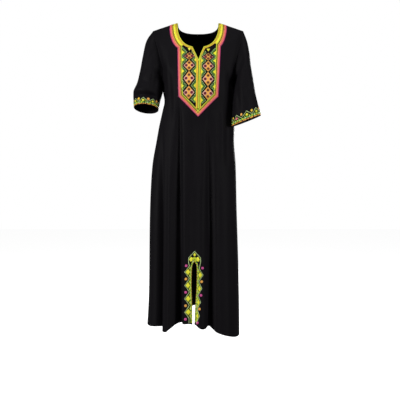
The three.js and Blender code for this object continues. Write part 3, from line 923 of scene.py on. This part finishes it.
def plan_of(surface, turned=1):
    """The plan of a surface, whose outside is turned over if turned is -1."""

    def plan(a, b):
        across = surface(a + PROBE, b) - surface(a - PROBE, b)
        upward = surface(a, b + PROBE) - surface(a, b - PROBE)
        return surface(a, b), turned * unit(np.cross(across, upward))

    return plan


def on_front(places):
    """Places on the plan of the body for (x, z) on its front."""
    x, z = np.array(places, dtype=float).T
    return np.column_stack([x, -down_from_shoulder(x, z)])


def resampled(path, step, closed=False):
    """The path with points added so that none is more than a step from the next."""
    path = np.array(path, dtype=float)
    ends = np.concatenate([path[1:], path[:1]]) if closed else path[1:]
    points = []
    for start, end in zip(path, ends):
        count = max(1, math.ceil(np.linalg.norm(end - start) / step))
        points.extend(mix(start, end, i / count) for i in range(count))
    return np.array(points if closed else points + [path[-1]])


def evened(path, step):
    """The path with its points an even distance apart, about a step."""
    way = travelled(path)
    at = np.linspace(0, way[-1], max(2, round(way[-1] / step) + 1))
    return np.column_stack([np.interp(at, way, column) for column in path.T])


def moved(path, distance, closed=False):
    """The path moved to its left by one distance or one for each point, with sharp corners."""
    ways = unit(np.diff(path, axis=0, append=path[:1]))
    if not closed:
        ways[-1] = ways[-2]
    before = np.roll(ways, 1, axis=0)
    if not closed:
        before[0] = ways[0]
    left = np.column_stack([-ways[:, 1], ways[:, 0]])
    left_before = np.column_stack([-before[:, 1], before[:, 0]])
    both = left + left_before
    stretch = 2 / np.maximum((both**2).sum(axis=1), 0.35)
    return path + both * (distance * stretch)[:, None]


BASE = 0.12  # stitches start this far off the cloth
HIGH_BASE = 0.55  # and those that lie on other stitches this far
STITCHED = 0.85  # height of satin stitch
STEP = 4.0  # between points along a strip
SECTION = ((0, 0), (0.12, 0.75), (0.5, 1), (0.88, 0.75), (1, 0))  # part across, part of height
PILLOW = ((1, 0), (0.86, 0.75), (0.5, 1))  # part of the outline's size, part of height


class Stitching:
    """One embroidered piece: closed strips and patches of satin stitch on a plan."""

    def __init__(self, plan):
        self.plan = plan
        self.places, self.lifts, self.uvs = [], [], []
        self.faces, self.face_threads = [], []
        self.used = []
        self.count = 0

    def add(self, places, lifts, uvs, faces, thread_name):
        if thread_name not in self.used:
            self.used.append(thread_name)
        self.places.append(places)
        self.lifts.append(lifts)
        self.uvs.append(uvs)
        self.faces.extend([number + self.count for number in face] for face in faces)
        self.face_threads.extend([self.used.index(thread_name)] * len(faces))
        self.count += len(places)

    def ribbon(self, left, right, thread_name):
        """A rounded strip between two rails of places that run side by side."""
        rows, across = len(left), len(SECTION)
        way = travelled((left + right) / 2)
        width = np.linalg.norm(left[0] - right[0])
        places = np.stack([mix(left, right, part) for part, _ in SECTION], axis=1)
        lifts = np.tile([BASE + STITCHED * part for _, part in SECTION], rows)
        uvs = [np.column_stack([way, np.full(rows, part * width)]) for part, _ in SECTION]
        faces = []
        for here in range(0, (rows - 1) * across, across):
            there = here + across
            for i in range(across):
                j = (i + 1) % across
                faces.append([here + j, here + i, there + i, there + j])
        end = (rows - 1) * across
        faces.append(list(range(across)))
        faces.append([end + across - 1 - i for i in range(across)])
        uvs = np.stack(uvs, axis=1).reshape(-1, 2)
        self.add(places.reshape(-1, 2), lifts, uvs, faces, thread_name)

    def line(self, path, width, thread_name):
        path = resampled(path, STEP)
        self.ribbon(moved(path, width / 2), moved(path, -width / 2), thread_name)

    def checks(self, path, inner, outer, length, threads):
        """Short blocks of stitch, one thread after another, along a path."""
        path = evened(path, length / 2)
        left, right = moved(path, outer), moved(path, inner)
        for block, start in enumerate(range(0, len(path) - 2, 2)):
            rails = (rail[start:start + 3].copy() for rail in (left, right))
            trimmed = [np.stack([mix(r[0], r[2], 0.05), r[1], mix(r[0], r[2], 0.95)]) for r in rails]
            self.ribbon(*trimmed, threads[block % len(threads)])

    def patch(self, outline, thread_name, base=BASE, height=STITCHED):
        """A pillow of stitch with this outline, which turns left."""
        outline = resampled(outline, STEP, closed=True)
        centre, count = outline.mean(axis=0), len(outline)
        places = [centre + (outline - centre) * size for size, _ in PILLOW] + [[centre], [centre]]
        places = np.concatenate(places)
        rings = len(PILLOW)
        heights = [base + height * part for _, part in PILLOW] + [base + height, base]
        lifts = np.repeat(heights, [count] * rings + [1, 1])
        top, bottom = rings * count, rings * count + 1
        faces = []
        for i in range(count):
            j = (i + 1) % count
            for ring in range(rings - 1):
                here, there = ring * count, (ring + 1) * count
                faces.append([here + i, here + j, there + j, there + i])
            faces.append([(rings - 1) * count + i, (rings - 1) * count + j, top])
            faces.append([j, i, bottom])
        self.add(places, lifts, places[:, ::-1], faces, thread_name)

    def dot(self, centre, radius, thread_name, base=BASE, height=STITCHED):
        turns = np.linspace(0, 2 * np.pi, 12, endpoint=False)
        outline = np.array(centre) + radius * np.column_stack([np.cos(turns), np.sin(turns)])
        self.patch(outline, thread_name, base, height)

    def sew(self, name, nodes, threads):
        places = np.concatenate(self.places)
        points, outward = self.plan(places[:, 0], places[:, 1])
        points = points + outward * np.concatenate(self.lifts)[:, None]
        finishes = [threads[thread_name] for thread_name in self.used]
        piece = add_piece(name, points, self.faces, finishes, nodes)
        mesh = piece.data
        mesh.polygons.foreach_set("material_index", self.face_threads)
        mesh.polygons.foreach_set("use_smooth", np.ones(len(self.faces), dtype=bool))
        corners = np.empty(len(mesh.loops), dtype=np.int32)
        mesh.loops.foreach_get("vertex_index", corners)
        layer = mesh.uv_layers.new(name="stitch")
        layer.data.foreach_set("uv", np.concatenate(self.uvs)[corners].ravel())
        return piece


# ---- The neck band, bib and placket --------------------------------------------------

BIB_TOP_HALF, BIB_TOP_Z = 86.5, -120
BIB_CORNER_HALF, BIB_CORNER_Z = 81.0, -326
BIB_TIP = (1.4, -409)
LEAN_TOP, LEAN_FOOT = (4.4, -170), (1.4, -408)  # the bib's centre line, x and z

PLACKET_TOP_Z = -175
PLACKET_FOOT_Z = -376
PLACKET_LOW, PLACKET_HIGH = -0.6, 6.0  # the lime strip between these, off the centre line
PLACKET_NARROW = 0.62  # the high side's gold strips are narrower by this
PLACKET_NARROW_Z = -150  # and are at their full width from here up

# The strips of the edging, from the outside in: distances from the outline.
EDGING = rows_of(
    "start end thread",
    (0.0, 2.1, "magenta"),
    (2.2, 8.8, "coral"),
    (9.0, 12.0, "orange"),
)
CHECKS = {"start": 12.2, "end": 15.4, "length": 3.6, "threads": ("olive", "brown")}
NECK_STRIPE = (15.6, 24.4)
BIB_STRIPE = (15.6, 18.8)
# The strips of the neck's edge: distances from the edge.
NECK_EDGING = rows_of(
    "start end thread",
    (0.4, 3.4, "yellow"),
    (3.6, 4.6, "olive"),
    (4.8, 8.8, "gold"),
)
PLACKET_EDGING = rows_of("start end thread", (0.4, 1.5, "olive"), (1.5, 8.8, "gold"))
LIME_CLEAR = 0.7  # between the lime strip and the placket's sides
# Lime patches at the foot of the notch, beside it and below it.
NOTCH_PATCHES = (
    ((10.3, -154.5), (3.4, -174), (3.4, -176.6), (10.3, -176.6)),
    ((5.6, -173.8), (5.6, -180), (-0.4, -180), (-0.4, -173.8)),
)


def centre_x(z):
    """The bib's centre line."""
    (x0, z0), (x1, z1) = LEAN_TOP, LEAN_FOOT
    return mix(x0, x1, (np.asarray(z, dtype=float) - z0) / (z1 - z0))


def neck_part(face, side, reverse):
    turns = even_turn(face, side, np.linspace(1, 0, 60))
    x, z = neck_place(face, side, turns)
    points = np.column_stack([x, face * down_from_shoulder(x, z)])
    return points[::-1] if reverse else points


def neck_loop():
    """The neck's edge from the notch's low corner, round the back, to its high corner."""
    parts = [
        neck_part(FRONT, LOW, False),
        neck_part(BACK, LOW, True)[1:],
        neck_part(BACK, HIGH, False)[1:],
        neck_part(FRONT, HIGH, True)[1:],
    ]
    return np.concatenate(parts)


def bib_side_x(side, v):
    """Where the bib's side lies at the height v of the plan, above its corner."""
    corner_x, top_x = centre_x([BIB_CORNER_Z, BIB_TOP_Z])
    corner, top = on_front([(corner_x, BIB_CORNER_Z), (top_x, BIB_TOP_Z)])[:, 1]
    up = (v - corner) / (top - corner)
    return mix(corner_x, top_x, up) + side * mix(BIB_CORNER_HALF, BIB_TOP_HALF, up)


def outer_outline():
    """The outline of the band and bib, closed, from the bib's tip by its low side.
    Also the numbers of the two points where the band meets the bib."""
    outer = moved(neck_loop(), BAND_WIDTH)
    beyond_low = outer[:, 0] < bib_side_x(LOW, outer[:, 1])
    beyond_high = outer[:, 0] > bib_side_x(HIGH, outer[:, 1])
    start = int(np.argmax(beyond_low))
    end = len(outer) - 1 - int(np.argmax(beyond_high[::-1]))
    corner_x = centre_x(BIB_CORNER_Z)
    corners = [(corner_x + side * BIB_CORNER_HALF, BIB_CORNER_Z) for side in (LOW, HIGH)]
    tip, low, high = on_front([BIB_TIP] + corners)
    up = resampled([tip, low, outer[start]], STEP)[:-1]
    down = resampled([outer[end], high, tip], STEP)[1:-1]
    outline = np.concatenate([up, outer[start:end + 1], down])
    return outline, len(up), len(up) + end - start


def edging_parts():
    """The outline's moved copies, cut where the band meets the bib."""
    outline, low, high = outer_outline()

    def band_part(distance):
        return moved(outline, -distance, closed=True)[low:high + 1]

    def bib_part(distance):
        path = moved(outline, -distance, closed=True)
        return np.concatenate([path[high:], path[:low + 1]])

    return band_part, bib_part


def edge_strips(stitching, part, stripe, stripe_thread):
    for strip in EDGING:
        stitching.ribbon(part(strip["start"]), part(strip["end"]), strip["thread"])
    middle = part((CHECKS["start"] + CHECKS["end"]) / 2)
    half = (CHECKS["end"] - CHECKS["start"]) / 2
    stitching.checks(middle, -half, half, CHECKS["length"], CHECKS["threads"])
    stitching.ribbon(part(stripe[0]), part(stripe[1]), stripe_thread)


def placket_edge():
    """The line that the gold edging follows: up the placket, round the neck and down.
    Also the part of its width that the edging has at each point, and the numbers of the
    first and last points on the neck band."""

    def rail(off, *heights):
        return on_front(resampled([(centre_x(z) + off, z) for z in heights], STEP))

    up = rail(PLACKET_LOW, PLACKET_FOOT_Z, PLACKET_TOP_Z)
    down = rail(PLACKET_HIGH, PLACKET_TOP_Z, PLACKET_FOOT_Z)
    loop = neck_loop()
    notch = on_front([(centre_x(PLACKET_NARROW_Z) + PLACKET_HIGH, PLACKET_NARROW_Z)])[0]
    low_side = resampled([up[-1], loop[0]], STEP)[1:-1]
    high_side = resampled([loop[-1], notch, down[0]], STEP)[1:]
    edge = np.concatenate([up, low_side, loop, high_side, down[1:]])
    bounds = on_front([(0, PLACKET_TOP_Z), (0, PLACKET_NARROW_Z)])[:, 1]
    narrow = np.interp(edge[:, 1], bounds, [PLACKET_NARROW, 1])
    narrow[:len(edge) - len(down) - len(high_side)] = 1
    return edge, narrow, len(up) - 1, len(edge) - len(down)


def gold_strips(stitching, strips, on_neck):
    """The strips beside the gold edging's line, on the neck or on the placket."""
    edge, narrow, first, last = placket_edge()
    parts = [slice(first, last + 1)] if on_neck else [slice(0, first + 1), slice(last, None)]
    for strip in strips:
        outer, inner = (moved(edge, strip[name] * narrow) for name in ("end", "start"))
        for part in parts:
            stitching.ribbon(outer[part], inner[part], strip["thread"])


def neck_band(threads):
    stitching = Stitching(plan_of(body_at))
    band_part, _ = edging_parts()
    edge_strips(stitching, band_part, NECK_STRIPE, "yellow")
    gold_strips(stitching, NECK_EDGING, on_neck=True)
    nodes = ["neck_band_left", "neck_band_right", "neck_band_back"]
    return stitching.sew("neck_embroidery", nodes, threads)


def placket(threads):
    stitching = Stitching(plan_of(body_at))
    gold_strips(stitching, PLACKET_EDGING, on_neck=False)
    heights = resampled([(0, PLACKET_TOP_Z - 2), (0, PLACKET_FOOT_Z)], STEP)[:, 1]
    offs = PLACKET_HIGH - LIME_CLEAR, PLACKET_LOW + LIME_CLEAR
    rails = [on_front(np.column_stack([centre_x(heights) + off, heights])) for off in offs]
    stitching.ribbon(*rails, "lime")
    for outline in NOTCH_PATCHES:
        stitching.patch(on_front(outline), "lime")
    return stitching.sew("placket_embroidery", ["placket"], threads)


COLUMN = {LOW: {"off": -38.4, "drop": 0}, HIGH: {"off": 38.4, "drop": -3.5}}
WAISTS = (-143.5, -176, -223.5, -284, -338.5)
DIAMOND_HALF = (20.5, 22.5, 22.5, 22.5)
DIAMOND_CLEAR = 0.1  # diamonds end this far above and below the waists
# The two sides of a column: reach is from its middle to the strips beside it, waists are
# those that the zigzags turn in at, and triangles those that have one. A zigzag starts and
# ends at the top and foot: as far past its gap as there is room for, and a height.
COLUMN_SIDES = {
    "outer": {
        "reach": 31.5, "waists": slice(0, 4), "triangles": slice(0, 4),
        "top": (19, -123), "foot": (25, -306),
    },
    "inner": {
        "reach": 28.5, "waists": slice(0, 5), "triangles": slice(1, 5),
        "top": (4, -136), "foot": (14, -352),
    },
}
ZIGZAG = rows_of("gap width thread", (9.2, 2.7, None), (15.4, 2.2, "green"))
ZIGZAG_CHECKS = {"length": 3.8, "threads": ("pale", "dark_green")}  # for the one with no thread
DOT = 6.2  # radius of the dots on the pink
DOT_LIFT, DOT_HEIGHT = 1.1, 0.45
PINK = {"off": 0.52, "size": 0.46, "height": 0.5}  # off and size as parts of the diamond's half
BROWN = {"off": 0.47, "size": 0.88, "lift": 1.0}  # size as a part of the other dots'
TRIANGLE_TIP = 19.0
TRIANGLE_HALF = (10, 10, 12, 12, 12)  # half their height, at each waist
CHEST_PATCH = ((-7.5, -125), (0, -137), (7.5, -125))  # yellow, above the diamonds


def zigzag(gap, limit, waists, top, foot):
    """Distances from the column's middle against height: in at the waists, out between
    them, and no further than the limit."""
    points = [top]
    for i, waist in enumerate(waists):
        points.append((gap, waist))
        if i + 1 < len(waists):
            half = DIAMOND_HALF[min(i, len(DIAMOND_HALF) - 1)]
            rise = (waist - waists[i + 1]) / 2
            part = min(1, (limit - gap) / half)
            points.append((gap + half * part, waist - rise * part))
            if part < 1:
                points.append((gap + half * part, waists[i + 1] + rise * part))
    return points + [foot]


def bib_column(stitching, side):
    """One column of diamonds, with zigzags and yellow triangles to each side of it."""
    off, drop = COLUMN[side]["off"], COLUMN[side]["drop"]

    def lay(points):
        return on_front([(centre_x(z) + off + out, z + drop) for out, z in points])

    for waist, next_waist, half in zip(WAISTS, WAISTS[1:], DIAMOND_HALF):
        z = (waist + next_waist) / 2
        tall = (waist - next_waist) / 2 - DIAMOND_CLEAR
        corners = [(half, z), (0, z + tall), (-half, z), (0, z - tall)]
        stitching.patch(lay(corners), "orange")
        for way in (-1, 1):
            pink_x, brown_z = way * half * PINK["off"], z + way * tall * BROWN["off"]
            pink = [(pink_x + a * PINK["size"], z + (b - z) * PINK["size"]) for a, b in corners]
            stitching.patch(lay(pink), "pink", HIGH_BASE, PINK["height"])
            stitching.dot(lay([(pink_x, z)])[0], DOT, "maroon", DOT_LIFT, DOT_HEIGHT)
            centre = lay([(0, brown_z)])[0]
            stitching.dot(centre, DOT * BROWN["size"], "brown", BROWN["lift"], DOT_HEIGHT)
    for way in (-1, 1):
        beside = COLUMN_SIDES["outer" if way == side else "inner"]
        limit = beside["reach"]
        for line in ZIGZAG:
            gap, half = line["gap"], line["width"] / 2
            reach = limit - half
            top, foot = ((min(reach, gap + beside[end][0]), beside[end][1]) for end in ("top", "foot"))
            points = zigzag(gap, reach, WAISTS[beside["waists"]], top, foot)
            path = lay([(way * out, z) for out, z in points])
            if line["thread"]:
                stitching.line(path, line["width"], line["thread"])
            else:
                stitching.checks(resampled(path, STEP), -half, half, **ZIGZAG_CHECKS)
        shown = beside["triangles"]
        for waist, tall in zip(WAISTS[shown], TRIANGLE_HALF[shown]):
            corners = [(TRIANGLE_TIP, waist), (limit, waist + tall), (limit, waist - tall)]
            outline = lay([(way * out, z) for out, z in corners])
            stitching.patch(outline if way < 0 else outline[::-1], "yellow")
    stitching.patch(lay(CHEST_PATCH), "yellow")


def bib(threads):
    stitching = Stitching(plan_of(body_at))
    _, bib_part = edging_parts()
    edge_strips(stitching, bib_part, BIB_STRIPE, "lime")
    for side in (LOW, HIGH):
        bib_column(stitching, side)
    return stitching.sew("bib_embroidery", ["bib"], threads)


# ---- The border of the hem slit ------------------------------------------------------

BORDER_HEAD_Z, BORDER_EAVES_Z, BORDER_EAVES_HALF = -947, -974, 25
BORDER_STEP, BORDER_FOOT_Z = {LOW: 52.3, HIGH: 53.4}, -1240
TIPS = 4
# Where the first tip of the half diamonds lies, and how far tips and waists reach from the
# centre line at the first tip and at the foot.
BORDER_SIDES = {
    LOW: {"first_z": -1030, "tip": 39.5, "tip_at_foot": 35, "waist": 21, "waist_at_foot": 18},
    HIGH: {"first_z": -1041, "tip": 36, "tip_at_foot": 22, "waist": 20, "waist_at_foot": 11.5},
}
BORDER_DOTS = {  # how far each dot lies from the centre line
    LOW: {"first_z": -1005, "reach": (32.5, 32.6, 32.5, 32, 31.5)},
    HIGH: {"first_z": -1014, "reach": (32.6, 29.8, 27.8, 22.5, 15)},
}
OUTLINE_WIDTH = 2.1
HALF_DIAMOND = 12.5  # half the height of the yellow ones
SPUR = ((0.8, 7.5), (5.5, 14), (0.8, 22))  # lime, on their straight side: out, and up or down
HEAD_PATCHES = (  # beside the head's centre line
    ("yellow", ((6.4, -974), (8.0, -987), (17, -989), (21, -979), (14, -969))),
    ("lime", ((0.4, -970), (0.4, -981), (5.4, -984), (5.6, -973))),
)
CROWN = ((5.6, -961.5), (0, -953.8), (-5.6, -961.5), (0, -969))
SLIT_EDGING = rows_of(
    "start end length threads",
    (0.5, 2.4, 3.4, ("olive", "gold", "brown")),
    (2.7, 6.8, 5.0, ("lime", "green", "lime", "pale")),
)


def border_place(side, reach, z):
    return mid_x(z) + side * reach, z


def border_tips(side):
    """Heights of the half diamonds' tips, with the reach of tips and waists there."""
    row = BORDER_SIDES[side]
    for number in range(TIPS):
        z = row["first_z"] - BORDER_STEP[side] * number
        down = (row["first_z"] - z) / (row["first_z"] - BORDER_FOOT_Z)
        yield z, mix(row["tip"], row["tip_at_foot"], down), mix(row["waist"], row["waist_at_foot"], down)


def border_side(stitching, side):

    def lay(points):
        """Places for (reach, z), which turn left on both sides."""
        laid = on_front([border_place(side, reach, z) for reach, z in points])
        return laid if side > 0 else laid[::-1]

    inset = OUTLINE_WIDTH / 2
    eaves = BORDER_EAVES_HALF - inset
    tips = list(border_tips(side))
    half_step = BORDER_STEP[side] / 2
    path = [(0, BORDER_HEAD_Z - inset), (eaves, BORDER_EAVES_Z), (eaves, BORDER_EAVES_Z - 17)]
    path.append((tips[0][2] - inset, tips[0][0] + half_step - 2))
    for z, tip, waist in tips:
        path.append((tip - inset * 1.4, z))
        path += [(waist - inset, z - half_step + way * 2) for way in (1, -1)]
    path[-1] = (tips[-1][2] - inset, BORDER_FOOT_Z + 9)
    stitching.line(lay(path), OUTLINE_WIDTH, "pale")
    for z, tip, waist in tips:
        near = float(slit_half(np.float64(z))) + SLIT_EDGING[-1]["end"] - 0.6
        far = tip - OUTLINE_WIDTH * 1.4 - 1.4
        middle = near + (far - near) * 0.46
        corners = [(near, z), (middle, z - HALF_DIAMOND), (far, z), (middle, z + HALF_DIAMOND)]
        stitching.patch(lay(corners), "yellow", HIGH_BASE)
        for way in (-1, 1):
            spur = [(near + out, z + way * up) for out, up in SPUR]
            stitching.patch(lay(spur[::way]), "lime")
            dash = [(far + 0.6, z + way * 4.2), (middle + 2.5, z + way * 15)]
            stitching.line(lay(dash), 1.0, "dark_green")
    row = BORDER_DOTS[side]
    for number, reach in enumerate(row["reach"]):
        centre = lay([(reach, row["first_z"] - BORDER_STEP[side] * number)])[0]
        stitching.dot(centre, 5.4, "rose" if number % 2 == 0 else "orange")
    for thread_name, outline in HEAD_PATCHES:
        stitching.patch(lay(outline), thread_name)


def slit_border(threads):
    stitching = Stitching(plan_of(body_at))
    heights = resampled([(0, BORDER_FOOT_Z + 12), (0, SLIT_TOP_Z - 14)], STEP)[:, 1]
    heights = np.concatenate([heights, [SLIT_TOP_Z - 9, SLIT_TOP_Z - 5]])
    low = np.column_stack([mid_x(heights) - slit_half(heights), heights])
    high = np.column_stack([mid_x(heights) + slit_half(heights), heights])[::-1]
    apex = [(float(mid_x(np.float64(SLIT_TOP_Z))), SLIT_TOP_Z)]
    edge = on_front(np.concatenate([low, apex, high]))
    for strip in SLIT_EDGING:
        stitching.checks(edge, strip["start"], strip["end"], strip["length"], strip["threads"])
    for side in (LOW, HIGH):
        border_side(stitching, side)
    stitching.patch(on_front([border_place(HIGH, *place) for place in CROWN]), "yellow")
    return stitching.sew("slit_embroidery", ["slit_border"], threads)


# ---- Cuffs ---------------------------------------------------------------------------

CUFF_REPEATS = {LOW: 9, HIGH: 8}
CUFF_SHIFT = {LOW: 7.1, HIGH: -1.0}  # the first tent's way round from the front of the sleeve
CUFF_HEIGHT = {LOW: 0.76, HIGH: 1.0}  # the band's height on each cuff, against the chart's
CUFF_CHECKS = rows_of(
    "start end length threads",
    (0.8, 2.0, 5.0, ("brown",)),
    (2.2, 7.6, 5.0, ("orange", "brown", "orange", "gold")),
    (8.2, 15.0, 6.2, ("green", "pale", "green", "lime")),
)
# The two lines of a tent, the heights of their foot and top, and the flower and leaves at
# the foot: the way out from its middle, and up.
TENT_FOOT = 17.4
TENT_LINES = rows_of(
    "inset foot top width thread",
    (0.6, 17.4, 36.5, 2.0, "pale"),
    (7.1, 18.0, 30.1, 1.2, "dark_green"),
)
FLOWER_HALF = {"yellow": 7.2, "blush": 8.5}
SIDE_LEAF = ((8, -1), (10, 3.4), (13.5, -1))
CUFF_DOT = {"up": 30.5, "radius": 5.4}


def cuff_plan(side):
    """The plan of a cuff: round it from the front towards the outside, and up its cloth.
    Also its length round."""
    angles = np.linspace(np.pi / 2, np.pi / 2 - 2 * np.pi, SAMPLES)
    way = travelled(sleeve_point(side, angles, 0))

    def surface(around, up):
        angle = np.interp(around % way[-1], way, angles)
        return sleeve_point(side, angle, up)

    return plan_of(surface, side), way[-1]


def cuff_band(side, threads):
    plan, length = cuff_plan(side)
    stitching = Stitching(plan)
    tall = CUFF_HEIGHT[side]
    period = length / CUFF_REPEATS[side]

    def lay(points):
        """Places for (way round, up), which turn left on both sides."""
        laid = np.array([(around, up * tall) for around, up in points], dtype=float)
        return laid if side > 0 else laid[::-1]

    path = lay([(around, 0) for around in np.linspace(0, length, 200)])
    for strip in CUFF_CHECKS:
        start, end = strip["start"] * tall * side, strip["end"] * tall * side
        stitching.checks(path, min(start, end), max(start, end), strip["length"], strip["threads"])
    for number in range(CUFF_REPEATS[side]):
        middle = CUFF_SHIFT[side] + number * period
        for line in TENT_LINES:
            half, foot, top = period / 2 - line["inset"], line["foot"], line["top"]
            tent = [(middle - half, foot), (middle, top), (middle + half, foot)]
            stitching.line(lay(tent), line["width"], line["thread"])
        colour = "blush" if side == HIGH and number == CUFF_REPEATS[side] - 1 else "yellow"
        wide = FLOWER_HALF[colour]
        flower = [(wide, 4.6), (0, 11.4), (-wide, 4.6), (0, -2)]
        stitching.patch(lay([(middle + out, TENT_FOOT + up) for out, up in flower]), colour)
        for way in (-1, 1):
            leaf = [(middle + way * out, TENT_FOOT + up) for out, up in SIDE_LEAF]
            stitching.patch(lay(leaf[::-way]), "lime")
        dot = "orange" if number % 3 else "gold"
        stitching.dot(lay([(middle + period / 2, CUFF_DOT["up"])])[0], CUFF_DOT["radius"], dot)
    name = SIDE_NAMES[side]
    return stitching.sew(f"cuff_embroidery_{name}", [f"cuff_band_{name}"], threads)


# ---- The gown ------------------------------------------------------------------------


def main():
    place_camera()
    for light in LIGHTS:
        soft_light(*light)
    white_room()
    lay_floor()
    bpy.context.scene.view_settings.view_transform = "Standard"

    cloth = crepe()
    threads = {name: thread(name, colour) for name, colour in THREADS.items()}
    pieces = {
        "front_panel": body_panel("front_panel", FRONT, cloth),
        "back_panel": body_panel("back_panel", BACK, cloth),
        "sleeve_left": sleeve_piece("sleeve_left", HIGH, cloth),
        "sleeve_right": sleeve_piece("sleeve_right", LOW, cloth),
    }
    neck = neck_band(threads)
    front_work = [neck, bib(threads), placket(threads), slit_border(threads)]
    cuffs = {side: cuff_band(side, threads) for side in (LOW, HIGH)}
    on_piece = {
        "front_panel": front_work,
        "back_panel": [],
        "sleeve_left": [cuffs[HIGH]],
        "sleeve_right": [cuffs[LOW]],
    }
    for name, piece in pieces.items():
        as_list(on_piece[name])


main()
